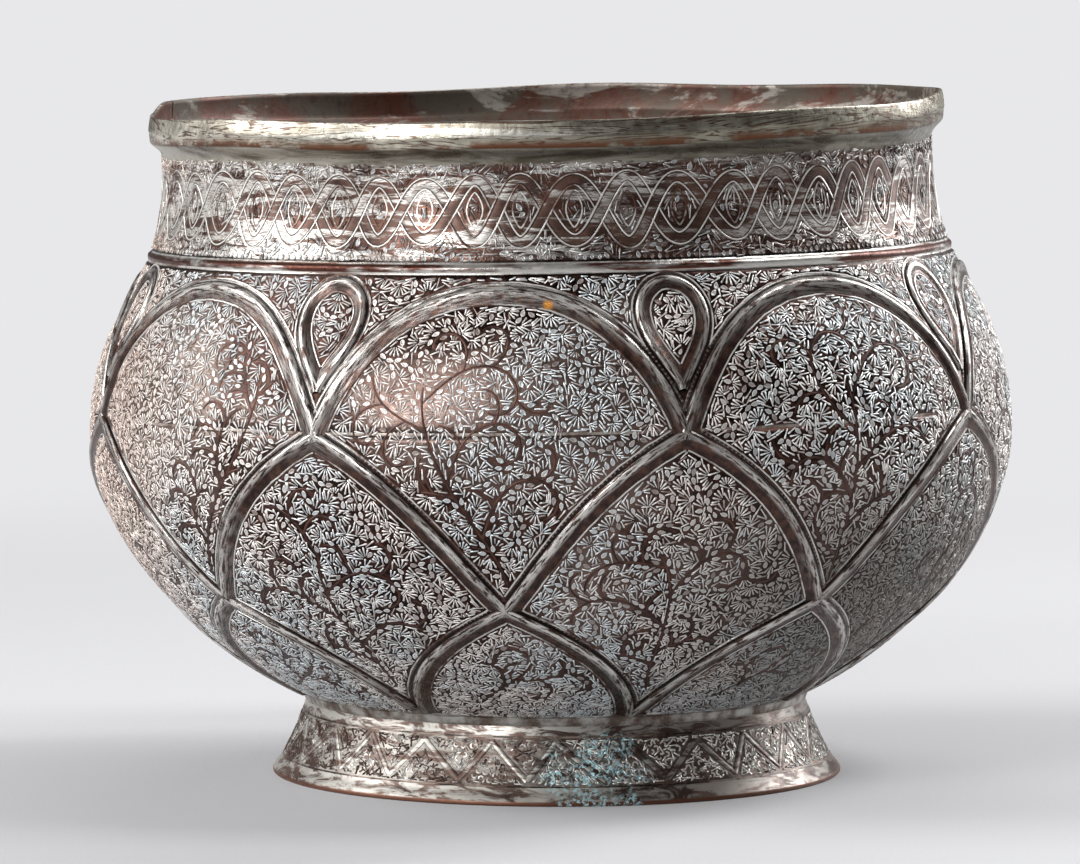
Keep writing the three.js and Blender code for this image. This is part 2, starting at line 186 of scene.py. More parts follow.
def flatPoints(profile, angle, run, lift):
    outward = np.interp(run, profile["run"], profile["outward"])
    upward = np.interp(run, profile["run"], profile["upward"])
    radius = np.interp(run, profile["run"], profile["radius"]) + outward * lift
    height = np.interp(run, profile["run"], profile["height"]) + upward * lift
    turn = np.radians(angle)
    return np.stack([radius * np.sin(turn), -radius * np.cos(turn), height], -1)


# The (radius, height) points of a section before it is spun
def sectionPoints(profile, runs, lifts):
    flat = flatPoints(profile, 0.0, runs, lifts)
    return np.stack([-flat[:, 1], flat[:, 2]], -1)


def surfacePoints(profile, angle, run, lift):
    return settled(flatPoints(profile, angle, run, lift))


def radiusAt(profile, run):
    return np.interp(run, profile["run"], profile["radius"])


def runAt(profile, height):
    return np.interp(height, profile["height"], profile["run"])


# Chased lattice: arches over the seam, pointed lobes under it, low arches over the foot
lattice = {
    "count": 8,
    "upperNode": 128 * mm,
    "lowerNode": 69.5 * mm,
    "ribFoot": 30.5 * mm,
    "footSpread": 0.96,
    "arch": 174.5 * mm,
    "moulding": 182.5 * mm,
    "tearTop": 177.7 * mm,
    "tearTip": 144.2 * mm,
    "tearWidest": 167.5 * mm,
    "tearWidth": 21 * mm,
    "archHandles": ((0.87, 0.51), (0.6, 1)),
    "middleHandles": ((0.24, 0.25), (0.47, 0.73)),
    "lowHandles": ((0.76, 0.41), (0.4, 0.73)),
    "band": 4.0 * mm,
    "tearBand": 3.1 * mm,
    "sink": 0.4 * mm,
}
halfLobe = 180 / lattice["count"]


def latticeLine(start, end, firstHandle, secondHandle, count=90):
    def handle(across, up):
        return (halfLobe * across, start[1] + (end[1] - start[1]) * up)

    line = bezier([start, handle(*firstHandle), handle(*secondHandle), end], count)
    return np.stack([line[:, 0], runAt(body, line[:, 1])], -1)


def tearLine(count=60):
    half = math.degrees(lattice["tearWidth"] / 2 / radiusAt(body, runAt(body, lattice["tearWidest"])))
    tip, widest, top = lattice["tearTip"], lattice["tearWidest"], lattice["tearTop"]
    climb = np.sin(np.linspace(0, math.pi / 2, count))
    below = np.linspace(0, 1, count)
    heights = np.concatenate([tip + below * (widest - tip), widest + climb[1:] * (top - widest)])
    lowShare = np.sin(below * math.pi / 2) ** 1.3
    highShare = np.sqrt(np.clip(1 - climb[1:] ** 2, 0, 1))
    return np.stack([half * np.concatenate([lowShare, highShare]), runAt(body, heights)], -1)


upperNode = (halfLobe, lattice["upperNode"])
lowerNode = (0, lattice["lowerNode"])
ribFoot = (halfLobe * lattice["footSpread"], lattice["ribFoot"])
archHalf = latticeLine(upperNode, (0, lattice["arch"]), *lattice["archHandles"])
middleHalf = latticeLine(lowerNode, upperNode, *lattice["middleHandles"])
lowHalf = latticeLine(ribFoot, lowerNode, *lattice["lowHandles"])
tearHalf = tearLine()


def mirroredLine(line):
    return line * (-1, 1)


def turnedLine(line, angle):
    return line + (angle, 0)


# Distance on the sheet from any place to the nearest rib, worked out in one half lobe
def ribDistance(angle, run, withTears=True):
    folded = np.abs((np.asarray(angle) + halfLobe) % (2 * halfLobe) - halfLobe)
    lines = [archHalf, middleHalf, lowHalf]
    if withTears:
        lines.append(turnedLine(mirroredLine(tearHalf), halfLobe))
    half = np.vstack(lines)
    every = np.vstack([half, mirroredLine(half), turnedLine(mirroredLine(half), 2 * halfLobe)])
    run = np.asarray(run)
    degree = np.radians(1) * radiusAt(body, run)
    best = np.full(np.shape(folded), 1.0)
    for spotAngle, spotRun in every:
        best = np.minimum(best, ((folded - spotAngle) * degree) ** 2 + (run - spotRun) ** 2)
    return np.sqrt(best)


def evenly(line, step, profile=None):
    profile = profile or body
    across = np.radians(np.diff(line[:, 0])) * radiusAt(profile, line[:-1, 1])
    length = np.concatenate([[0], np.cumsum(np.hypot(across, np.diff(line[:, 1])))])
    count = max(4, int(round(length[-1] / step)) + 1)
    at = np.linspace(0, length[-1], count)
    return np.stack([np.interp(at, length, line[:, 0]), np.interp(at, length, line[:, 1])], -1)


def deselectAll():
    bpy.ops.object.select_all(action="DESELECT")


def selectOnly(piece):
    deselectAll()
    piece.select_set(True)
    bpy.context.view_layer.objects.active = piece


def tidyMesh(piece):
    selectOnly(piece)
    bpy.ops.object.mode_set(mode="EDIT")
    bpy.ops.mesh.select_all(action="SELECT")
    bpy.ops.mesh.remove_doubles(threshold=1e-6)
    bpy.ops.mesh.normals_make_consistent(inside=False)
    bpy.ops.object.mode_set(mode="OBJECT")


def setAttribute(piece, name, values):
    data = piece.data.attributes.new(name, "FLOAT", "POINT")
    data.data.foreach_set("value", np.asarray(values, np.float32).ravel())


def verticesOf(piece):
    spots = np.empty(len(piece.data.vertices) * 3, np.float32)
    piece.data.vertices.foreach_get("co", spots)
    return spots.reshape(-1, 3).astype(float)


def moveVertices(piece, spots):
    piece.data.vertices.foreach_set("co", np.asarray(spots, np.float32).ravel())
    piece.data.update()


def finishPiece(piece, material, replaced=()):
    for each in material if isinstance(material, (list, tuple)) else [material]:
        piece.data.materials.append(each)
    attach(piece, "root")
    if replaced:
        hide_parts(*replaced)
    return piece


# Closed outline of (radius, height) points, spun into a ring. With poles it starts and ends on the
# axis. A part of a turn runs from its start towards smaller angles.
def spunOutline(name, outline, steps, poles=False, start=0.0, angle=360.0):
    deselectAll()
    whole = angle == 360.0
    bpy.ops.mesh.primitive_circle_add(vertices=len(outline), fill_type="NOTHING" if whole else "NGON")
    piece = bpy.context.object
    piece.name = name
    piece.data.name = name
    turn = math.radians(start)
    outline = np.asarray(outline, float)
    radius, height = outline.T
    moveVertices(piece, np.stack([radius * math.sin(turn), -radius * math.cos(turn), height], -1))
    if poles:
        bpy.ops.object.mode_set(mode="EDIT")
        bpy.ops.mesh.select_mode(type="EDGE")
        bpy.ops.mesh.select_all(action="DESELECT")
        bpy.ops.object.mode_set(mode="OBJECT")
        onAxis = {0, len(outline) - 1}
        for edge in piece.data.edges:
            edge.select = set(edge.vertices) == onAxis
        bpy.ops.object.mode_set(mode="EDIT")
        bpy.ops.mesh.delete(type="EDGE")
        bpy.ops.mesh.select_mode(type="VERT")
        bpy.ops.object.mode_set(mode="OBJECT")
    bpy.ops.object.mode_set(mode="EDIT")
    bpy.ops.mesh.select_all(action="SELECT")
    bpy.ops.mesh.spin(steps=steps, angle=math.radians(angle), center=(0, 0, 0), axis=(0, 0, 1))
    bpy.ops.object.mode_set(mode="OBJECT")
    tidyMesh(piece)
    return piece


# Vertex of every corner of the faces, and each face's first corner
def facesOf(mesh):
    loops = np.empty(len(mesh.loops), np.int32)
    starts = np.empty(len(mesh.polygons), np.int32)
    mesh.loops.foreach_get("vertex_index", loops)
    mesh.polygons.foreach_get("loop_start", starts)
    return loops, starts


# Many copies of one modelled shape in one mesh, each copy with its own vertices
def copiesInto(name, template, spots, attributes):
    copies, corners = spots.shape[:2]
    loops, starts = facesOf(template.data)
    totals = np.diff(np.append(starts, len(loops))).astype(np.int32)
    shift = np.arange(copies, dtype=np.int32)[:, None]
    data = bpy.data.meshes.new(name)
    data.vertices.add(copies * corners)
    data.loops.add(copies * len(loops))
    data.polygons.add(copies * len(starts))
    data.vertices.foreach_set("co", spots.astype(np.float32).ravel())
    data.loops.foreach_set("vertex_index", (loops[None] + shift * corners).ravel())
    data.polygons.foreach_set("loop_start", (starts[None] + shift * len(loops)).ravel())
    data.polygons.foreach_set("loop_total", np.tile(totals, copies))
    data.update(calc_edges=True)
    piece = bpy.data.objects.new(name, data)
    bpy.context.scene.collection.objects.link(piece)
    for key, values in attributes.items():
        setAttribute(piece, key, values)
    return piece


# Angles and runs of places at a sideways distance from chosen spots of a line
def besideLine(profile, spots, side, row=slice(None)):
    radius = radiusAt(profile, spots[:, 1])
    ahead = np.gradient(np.radians(spots[:, 0])) * radius, np.gradient(spots[:, 1])
    size = np.hypot(*ahead)
    angle = spots[row, 0] - np.degrees(side * (ahead[1] / size)[row] / radius[row])
    return angle, spots[row, 1] + side * (ahead[0] / size)[row]


# Strips with one section of (across, lift) pairs, wrapped along lines that lie on a profile
def stripsAlong(name, profile, lines, section, step, thickness=0.0, lifts=None, taper=0.0):
    pairs = np.array(section, float)
    strips = []
    deselectAll()
    for index, line in enumerate(lines):
        spots = evenly(np.asarray(line, float), step, profile)
        last = len(spots) - 1
        bpy.ops.mesh.primitive_grid_add(x_subdivisions=len(pairs) - 1, y_subdivisions=last, size=1)
        strip = bpy.context.object
        grid = verticesOf(strip) + 0.5
        column = np.rint(grid[:, 0] * (len(pairs) - 1)).astype(int)
        row = np.rint(grid[:, 1] * last).astype(int)
        side, lift = pairs[column].T
        if taper:
            end = np.minimum(row, last - row) * step
            lift = np.where(lift > 0, lift * np.clip(end / taper, 0.1, 1), lift)
        if lifts is not None:
            lift = lift + np.interp(row / last, np.linspace(0, 1, len(lifts[index])), lifts[index])
        angle, run = besideLine(profile, spots, side, row)
        moveVertices(strip, surfacePoints(profile, angle, run, lift))
        setAttribute(strip, "across", side / mm)
        setAttribute(strip, "along", row * step / mm + 37 * index)
        strips.append(strip)
    for strip in strips:
        strip.select_set(True)
    bpy.context.view_layer.objects.active = strips[0]
    bpy.ops.object.join()
    piece = bpy.context.object
    piece.name = name
    piece.data.name = name
    tidyMesh(piece)
    faceOutwards(piece)
    if thickness:
        wall = piece.modifiers.new("wall", "SOLIDIFY")
        wall.thickness = thickness
        wall.offset = -1
        bpy.ops.object.modifier_apply(modifier=wall.name)
    bpy.ops.object.shade_smooth_by_angle(angle=math.radians(50))
    return piece


# Open strips are turned so that every face looks away from the bowl's axis
def faceOutwards(piece):
    faces = piece.data.polygons
    wrong = [face.index for face in faces if face.normal.dot((face.center.x, face.center.y, 0)) < 0]
    for index in wrong:
        faces[index].flip()
    piece.data.update()


print("tools ready")

# Upper and lower sheets, each spun from its section and then chased
sheet = {
    "turns": 480,
    "wallStep": 2.3 * mm,
    "innerStep": 3.2 * mm,
    "dishStep": 5 * mm,
    "rimStep": 0.55 * mm,
    "mouldingRise": 0.7 * mm,
    "mouldingWidth": 3.6 * mm,
    "grooveDepth": 0.25 * mm,
    "reverseRib": 0.5 * mm,
    "reverseReach": 3.2 * mm,
    "hemWave": 0.55 * mm,
    "crackAngle": -97.5,
    "crackWidth": 0.8 * mm,
    "crackTaper": (0.25, 1.4),
    "bladeLength": 12 * mm,
    "crackDepth": 7 * mm,
}
seamRun = runAt(body, bowl["seamHeight"])
mouldingRun = runAt(body, lattice["moulding"])
neckRun = runAt(body, bowl["neckHeight"])
lipRun = neckRun + rim["plainNeck"] + rim["cove"] * 1.28
rimRun = body["run"][-1]
dishRun = body["run"][0]


def runsBetween(start, end, step):
    count = max(1, int(round(abs(end - start) / step)))
    return np.linspace(start, end, count + 1)


def sheetPairs(outer, inner):
    depth = -bowl["thickness"]
    return [(run, 0.0) for run in outer] + [(run, depth) for run in inner]


def sheetRelief(angle, run):
    band = lattice["band"]
    lift = -lattice["sink"] * (1 - smooth(ribDistance(angle, run), band - 1 * mm, band + 0.2 * mm))
    share = np.clip((run - mouldingRun) / (sheet["mouldingWidth"] / 2), -1, 1)
    lift += sheet["mouldingRise"] * np.cos(share * math.pi / 2) ** 2
    beside = np.abs(np.abs(run - mouldingRun) - sheet["mouldingWidth"] * 0.62)
    lift -= sheet["grooveDepth"] * (1 - smooth(beside, 0.3 * mm, 0.9 * mm))
    turn = np.radians(angle)
    hem = rim["hemLow"] + sheet["hemWave"] * (np.sin(9 * turn + 1) + np.sin(23 * turn) * 0.5)
    lift += rim["hemStep"] * smooth(run - lipRun - hem, -0.3 * mm, 0.3 * mm)
    return lift


def innerRelief(angle, run):
    share = np.clip(ribDistance(angle, run) / sheet["reverseReach"], 0, 1)
    return sheet["reverseRib"] * np.cos(share * math.pi / 2) ** 2


def makeSheet(name, pairs, poles):
    pairs = np.array(pairs)
    outline = sectionPoints(body, *pairs.T)
    piece = spunOutline(name, outline, sheet["turns"], poles)
    spots = verticesOf(piece)
    radius = np.hypot(spots[:, 0], spots[:, 1])
    nearest = np.zeros(len(spots), int)
    best = np.full(len(spots), 1.0)
    for index, (outlineRadius, height) in enumerate(outline):
        gap = (radius - outlineRadius) ** 2 + (spots[:, 2] - height) ** 2
        closer = gap < best
        nearest[closer] = index
        best[closer] = gap[closer]
    angle = np.degrees(np.arctan2(spots[:, 0], -spots[:, 1]))
    run, lift = pairs[nearest, 0], pairs[nearest, 1]
    isOuter = lift > -bowl["thickness"] / 2
    lift = lift + np.where(isOuter, sheetRelief(angle, run), innerRelief(angle, run))
    moveVertices(piece, surfacePoints(body, angle, run, lift))
    setAttribute(piece, "run", run / mm)
    loops, starts = facesOf(piece.data)
    inside = np.minimum.reduceat((~isOuter[loops]).astype(np.int32), starts)
    return piece, inside


def cutCrack(piece):
    turn = math.radians(sheet["crackAngle"])
    radius = bowl["neckRadius"] + rim["reach"]
    bpy.ops.mesh.primitive_cube_add(size=1)
    blade = bpy.context.object
    corners = verticesOf(blade) * (sheet["crackWidth"], sheet["bladeLength"], sheet["crackDepth"] * 2)
    corners[:, 0] *= np.where(corners[:, 2] < 0, *sheet["crackTaper"])
    x = corners[:, 0] * math.cos(turn) - corners[:, 1] * math.sin(turn)
    y = corners[:, 0] * math.sin(turn) + corners[:, 1] * math.cos(turn)
    centre = (radius * math.sin(turn), -radius * math.cos(turn), rimHeight)
    moveVertices(blade, np.stack([x, y, corners[:, 2]], -1) + centre)
    selectOnly(piece)
    cut = piece.modifiers.new("crack", "BOOLEAN")
    cut.object = blade
    cut.operation = "DIFFERENCE"
    cut.solver = "EXACT"
    bpy.ops.object.modifier_apply(modifier=cut.name)
    bpy.data.objects.remove(blade)


def makeSheets():
    gap = bowl["seamWidth"] / 2
    outer = np.concatenate([
        runsBetween(dishRun, 0, sheet["dishStep"]),
        runsBetween(0, seamRun - gap, sheet["wallStep"])[1:],
    ])
    inner = runsBetween(seamRun - gap, dishRun, sheet["innerStep"])
    lower, lowerInside = makeSheet("lower_sheet", sheetPairs(outer, inner), True)
    edge = rim["edgeRound"]
    rise = np.concatenate([
        runsBetween(seamRun + gap, mouldingRun - 4 * mm, sheet["wallStep"]),
        runsBetween(mouldingRun - 4 * mm, mouldingRun + 4 * mm, sheet["rimStep"])[1:],
        runsBetween(mouldingRun + 4 * mm, neckRun, sheet["wallStep"])[1:],
        runsBetween(neckRun, rimRun - edge, sheet["rimStep"])[1:],
    ])
    back = np.concatenate([
        runsBetween(rimRun - edge, neckRun, sheet["rimStep"] * 2),
        runsBetween(neckRun, seamRun + gap, sheet["innerStep"])[1:],
    ])
    pairs = sheetPairs(rise, back)
    pairs[len(rise):len(rise)] = [(rimRun, -edge), (rimRun, edge - bowl["thickness"])]
    upper, upperInside = makeSheet("upper_sheet", pairs, False)
    for piece, inside in ((lower, lowerInside), (upper, upperInside)):
        piece.data.polygons.foreach_set("material_index", inside)
        piece.data.polygons.foreach_set("use_smooth", np.ones(len(inside), bool))
    return lower, upper


lowerSheet, upperSheet = makeSheets()
cutCrack(upperSheet)
print("sheets spun:", len(lowerSheet.data.polygons), len(upperSheet.data.polygons))

# Hard solder line between the sheets
seam = {"turns": 320, "proud": 0.02 * mm, "overlap": 0.05 * mm}


def makeSeam():
    half = bowl["seamWidth"] / 2 + seam["overlap"]
    runs = seamRun + half * np.array([-1, 0, 1, 1, -1])
    lifts = np.array([0, seam["proud"], 0, -bowl["thickness"], -bowl["thickness"]])
    piece = spunOutline("seam_line", sectionPoints(body, runs, lifts), seam["turns"])
    moveVertices(piece, settled(verticesOf(piece)))
    return piece


seamLine = makeSeam()

# Chased ribs, from the inside of their lobe to the outside, and the thin lines along both edges
rib = {
    "step": 1.5 * mm,
    "tearStep": 1.2 * mm,
    "thickness": 0.5 * mm,
    "overrun": 1.4 * mm,
    "tearOverrun": 1.1 * mm,
    "section": [
        (-4.0, -0.2), (-3.7, 0.04), (-3.0, 0.1), (-2.3, 0.26), (-1.6, 0.5), (-0.9, 0.78), (-0.2, 1.06),
        (0.5, 1.28), (1.2, 1.26), (1.8, 0.98), (2.25, 0.5), (2.5, -0.06), (2.85, -0.1), (3.1, 0.06),
        (3.5, 0.08), (3.8, 0.02), (4.0, -0.2),
    ],
    "tearSection": [
        (-3.1, -0.2), (-2.85, 0.04), (-2.2, 0.12), (-1.4, 0.4), (-0.6, 0.8), (0.1, 1.05), (0.8, 1.1),
        (1.4, 0.82), (1.85, 0.3), (2.1, -0.08), (2.4, -0.1), (2.6, 0.05), (2.9, 0.05), (3.1, -0.2),
    ],
    "line": (0.34, 0.2, 0.2),
    "lineWobble": 0.16 * mm,
    "lineWaves": ((2.1, 900), (5.3, -1700), (1.1, 400)),
    "lineTaper": 1 * mm,
}


def inMetres(section):
    return [(across * mm, lift * mm) for across, lift in section]


# Section with two like halves, given from its left edge to its middle
def symmetric(half):
    return inMetres(half + [(-across, lift) for across, lift in half[-2::-1]])


# Section of a thin raised line, which starts under the surface
def lineSection(base, crest, top):
    return inMetres([(-base, -0.2), (-crest, top), (crest, top), (base, -0.2)])


# A line is carried on past both its ends, so that the ribs run into each other at the crossings
def carriedOn(line, reach):
    spots = evenly(line, 1 * mm)
    first = (spots[0] - spots[1]) / (1 * mm) * reach + spots[0]
    last = (spots[-1] - spots[-2]) / (1 * mm) * reach + spots[-1]
    return np.vstack([first, spots, last])


def wholeLine(half):
    return np.vstack([mirroredLine(half), half[::-1][1:]])


archLine = wholeLine(archHalf)
risingMiddle = middleHalf
fallingMiddle = turnedLine(mirroredLine(middleHalf), 2 * halfLobe)[::-1]
risingLow = mirroredLine(lowHalf)
fallingLow = lowHalf[::-1]
tearLoop = turnedLine(wholeLine(tearHalf), halfLobe)


def aroundBowl(lines):
    return [turnedLine(line, 2 * halfLobe * turn) for turn in range(lattice["count"]) for line in lines]


def ribStrips(name, lines, section=rib["section"], overrun=rib["overrun"], step=rib["step"]):
    lines = aroundBowl([carriedOn(line, overrun) for line in lines])
    return stripsAlong(name, body, lines, inMetres(section), step, thickness=rib["thickness"])


def wobble(angle, run):
    wave = sum(np.sin(angle * turns + run * climb) for turns, climb in rib["lineWaves"])
    return rib["lineWobble"] * wave / 2


# The edge lines stop where two bands meet, so they turn a corner inside each cell
def edgeLines():
    cut = []
    ribLines = (archLine, risingMiddle, fallingMiddle, risingLow, fallingLow)
    bands = [(line, lattice["band"]) for line in ribLines] + [(tearLoop, lattice["tearBand"])]
    for line, offset in bands:
        spots = evenly(line, 0.8 * mm)
        for side in (-offset, offset):
            angle, run = besideLine(body, spots, side)
            keep = ribDistance(angle, run, False) > lattice["band"] - 0.12 * mm
            keep &= (ribDistance(angle, run) > lattice["tearBand"] - 0.1 * mm) & (run > 1.5 * mm)
            beside = np.stack([angle, run + wobble(angle, run)], -1)
            for part in np.split(np.arange(len(spots)), np.flatnonzero(np.diff(keep.astype(int))) + 1):
                if keep[part[0]] and len(part) > 5:
                    cut.append(beside[part])
    return cut


ribPieces = [
    ribStrips("arch_ribs", [archLine]),
    ribStrips("lobe_ribs", [risingMiddle, fallingMiddle]),
    ribStrips("low_arch_ribs", [risingLow, fallingLow]),
    ribStrips("teardrops", [tearLoop], rib["tearSection"], rib["tearOverrun"], rib["tearStep"]),
]
edgeSection = lineSection(*rib["line"])
edgePiece = stripsAlong(
    "rib_edge_lines", body, aroundBowl(edgeLines()), edgeSection, rib["step"], taper=rib["lineTaper"]
)
print("ribs laid:", sum(len(piece.data.polygons) for piece in ribPieces + [edgePiece]))

# Chased ground: which places are taken, cell by cell, and the marks laid so far
chasing = {
    "cell": 0.45 * mm,
    "turns": 1800,
    "leaf": (2.6 * mm, 1.5 * mm),
    "stroke": (3.8 * mm, 0.42 * mm),
    "spare": 0.42 * mm,
    "stemWidth": 0.8 * mm,
    "stemStep": 0.9 * mm,
    "stemAhead": (2.4 * mm, 3.2 * mm),
    "leafPitch": 2.6 * mm,
    "leafBeside": 1.3 * mm,
    "leafSpare": 0.15 * mm,
    "tipLeaf": (1.9 * mm, 1.25),
    "fanRoot": 0.75 * mm,
    "flow": ((2.4, 0.21, 70, 0), (2.2, 0.13, -95, 2)),
    "top": {"leaf": 0.3 * mm, "stroke": 0.26 * mm},
    "sunk": -0.25 * mm,
    "facesPerPiece": 150000,
}
# Kinds of vine, with the scrolls on their main stem: place along it, side, and length in millimetres
vines = {
    "tall": {
        "height": 79 * mm,
        "length": 76 * mm,
        "scrolls": [
            (0.16, 1, 44), (0.3, -1, 52), (0.46, 1, 60), (0.62, -1, 60), (0.8, 1, 54), (0.94, -1, 62),
        ],
    },
    "wide": {
        "height": 41 * mm,
        "length": 60 * mm,
        "scrolls": [(0.2, 1, 40), (0.35, -1, 44), (0.55, 1, 50), (0.75, -1, 50), (0.95, 1, 44)],
    },
    "low": {
        "height": 36 * mm,
        "length": 34 * mm,
        "scrolls": [(0.4, 1, 22), (0.6, -1, 24)],
    },
}
luck = random.Random(11)


def makeGround(profile, lowRun, highRun, blocked):
    rows = int((highRun - lowRun) / chasing["cell"])
    runs = lowRun + (np.arange(rows) + 0.5) * chasing["cell"]
    angles = (np.arange(chasing["turns"]) + 0.5) * 360 / chasing["turns"]
    taken = np.zeros((chasing["turns"], rows), bool)
    if blocked is not None:
        taken |= blocked(angles, runs)
    return {
        "profile": profile,
        "low": lowRun,
        "rows": rows,
        "taken": bytearray(taken.astype(np.uint8).tobytes()),
        "degrees": np.degrees(1 / radiusAt(profile, runs)).tolist(),
        "leaf": [],
        "stroke": [],
        "stems": [],
    }


# Nothing is struck on the ribs, nor over some stretches of the brazed seam
def ribbed(angles, runs):
    lobeTurns = chasing["turns"] // lattice["count"]
    grid = np.meshgrid(angles[:lobeTurns], runs, indexing="ij")
    onRib = ribDistance(*grid, False) < lattice["band"] + 0.45 * mm
    onRib = np.tile(onRib | (ribDistance(*grid) < lattice["tearBand"] + 0.35 * mm), (lattice["count"], 1))
    turn = np.radians(angles)[:, None]
    bare = np.sin(13 * turn) + np.sin(31 * turn + 2) > 0.9
    return onRib | (bare & (np.abs(runs - seamRun)[None] < 0.5 * mm))


def rowOf(ground, run):
    return min(max(int((run - ground["low"]) / chasing["cell"]), 0), ground["rows"] - 1)


def underMark(ground, angle, run, heading, length, width):
    cell, turns, rows = chasing["cell"], chasing["turns"], ground["rows"]
    perMetre = ground["degrees"][rowOf(ground, run)]
    perDegree = turns / 360
    along = max(2, math.ceil(length / cell))
    beside = max(1, math.ceil(width / cell))
    cosine, sine = math.cos(heading), math.sin(heading)
    cells = []
    for first in range(along):
        forward = ((first + 0.5) / along - 0.5) * length
        for second in range(beside):
            sideways = ((second + 0.5) / beside - 0.5) * width
            row = int((run + forward * sine + sideways * cosine - ground["low"]) / cell + 1000) - 1000
            if row < 0 or row >= rows:
                return None
            place = angle + (forward * cosine - sideways * sine) * perMetre
            cells.append((int(place * perDegree + turns * 4) % turns) * rows + row)
    return cells


def layMark(ground, kind, angle, run, heading, length, width, spare=None):
    spare = chasing["spare"] if spare is None else spare
    if not isFree(ground, underMark(ground, angle, run, heading, length + spare, width + spare)):
        return False
    takeCells(ground, underMark(ground, angle, run, heading, length, width))
    ground[kind].append((angle, run, heading, length, width))
    return True


def moved(ground, angle, run, heading, distance):
    perMetre = ground["degrees"][rowOf(ground, run)]
    return angle + math.cos(heading) * distance * perMetre, run + math.sin(heading) * distance


def isFree(ground, cells):
    return cells is not None and not any(ground["taken"][cell] for cell in cells)


def takeCells(ground, cells):
    for cell in cells or []:
        ground["taken"][cell] = 1


def growStem(ground, angle, run, heading, length, bendStart, bendEnd, free=4 * mm):
    step = chasing["stemStep"]
    count = int(length / step)
    points = [(angle, run, heading)]
    for index in range(count):
        heading += step * (bendStart + (bendEnd - bendStart) * index / count)
        angle, run = moved(ground, angle, run, heading, step)
        ahead = moved(ground, angle, run, heading, chasing["stemAhead"][0])
        cells = underMark(ground, *ahead, heading, *chasing["stemAhead"])
        if index * step > free and not isFree(ground, cells):
            break
        points.append((angle, run, heading))
    if len(points) < 8:
        return []
    for spot in points:
        takeCells(ground, underMark(ground, *spot, step * 1.3, chasing["stemWidth"]))
    ground["stems"].append([spot[:2] for spot in points])
    return points


def leavesAlong(ground, points):
    every = chasing["leafPitch"] / chasing["stemStep"]
    length, width = chasing["leaf"]
    for side in (1, -1):
        at = 3.0
        while at < len(points) - 1:
            angle, run, heading = points[int(at)]
            spot = moved(ground, angle, run, heading + side * math.pi / 2, chasing["leafBeside"])
            lean = heading + side * luck.uniform(0.1, 0.45)
            size = luck.uniform(0.9, 1.15)
            breadth = width * luck.uniform(0.85, 1.05)
            if layMark(ground, "leaf", *spot, lean, length * size, breadth, chasing["leafSpare"]):
                outward = heading + side * luck.uniform(0.8, 1.2)
                root = moved(ground, *spot, heading + side * math.pi / 2, chasing["fanRoot"])
                count = luck.choice((2, 3, 3, 4))
                layFan(ground, *root, outward, count, 0.5, 1 * mm, luck.uniform(3.4, 4.4) * mm)
            at += every * luck.uniform(0.95, 1.12)
    beyond, larger = chasing["tipLeaf"]
    spot = moved(ground, *points[-1], beyond)
    layMark(ground, "leaf", *spot, points[-1][2], length * larger, width)


# Strokes that spread from one point. They may stand close to each other, though not to other marks.
def layFan(ground, angle, run, heading, count, pitch, inner, outer, least=1):
    width = chasing["stroke"][1]
    placed = []
    for index in range(count):
        turn = heading + (index - (count - 1) / 2) * pitch
        far = outer * luck.uniform(0.86, 1.04)
        near = inner if index % 2 else inner * 1.7
        spot = moved(ground, angle, run, turn, (near + far) / 2)
        cells = underMark(ground, *spot, turn, far - near + 0.3 * mm, width + 0.3 * mm)
        if isFree(ground, cells):
            placed.append((spot, turn, far - near))
    if len(placed) < least:
        return False
    for spot, turn, length in placed:
        layMark(ground, "stroke", *spot, turn, length, width, -0.3 * mm)
    return True


# A main stem with scrolls on both sides, each with twigs that curl the other way
def plantVine(ground, kind, angle, heading, sway):
    vine = vines[kind]
    length = vine["length"] * luck.uniform(0.85, 1.15)
    run = runAt(body, vine["height"])
    main = growStem(ground, angle, run, heading, length, sway, -sway * 1.4, free=6 * mm)
    if not main:
        return
    grown = []
    for place, side, reach in vine["scrolls"]:
        index = int((place + luck.uniform(-0.06, 0.06)) * (len(main) - 1))
        spot = main[min(max(index, 1), len(main) - 1)]
        curl = luck.choice((-1, 1)) if luck.random() < 0.3 else side
        start = spot[2] + side * luck.uniform(0.6, 1.0)
        bend = luck.uniform(150, 230)
        size = reach * mm * luck.uniform(0.8, 1.15)
        scroll = growStem(ground, *spot[:2], start, size, -curl * 12, curl * bend)
        if scroll:
            grown.append((scroll, curl))
    twigs = []
    for scroll, curl in grown:
        for place in (0.3, 0.55, 0.8):
            spot = scroll[int((place + luck.uniform(-0.08, 0.08)) * len(scroll))]
            start = spot[2] - curl * luck.uniform(0.7, 1.1)
            reach = luck.uniform(13, 26) * mm
            twig = growStem(ground, *spot[:2], start, reach, -curl * 40, -curl * 260, free=2.5 * mm)
            if twig:
                twigs.append(twig)
    for stem in [scroll for scroll, curl in grown] + twigs + [main]:
        leavesAlong(ground, stem)


def plantCells(ground):
    for lobe in range(lattice["count"]):
        middle = lobe * 2 * halfLobe
        sway = luck.choice((-1, 1)) * luck.uniform(6, 11)
        start = middle + luck.uniform(-1, 1)
        plantVine(ground, "tall", start, math.pi / 2 + luck.uniform(-0.35, 0.35), sway * 2)
        plantVine(ground, "wide", middle + halfLobe, math.pi / 2 + luck.uniform(-0.4, 0.4), -sway * 2)
        plantVine(ground, "low", middle - 7, 0.9 + luck.uniform(-0.2, 0.2), -28)


def anyPlace(ground):
    angle = luck.uniform(0, 360)
    return angle, ground["low"] + luck.uniform(0, ground["rows"]) * chasing["cell"]


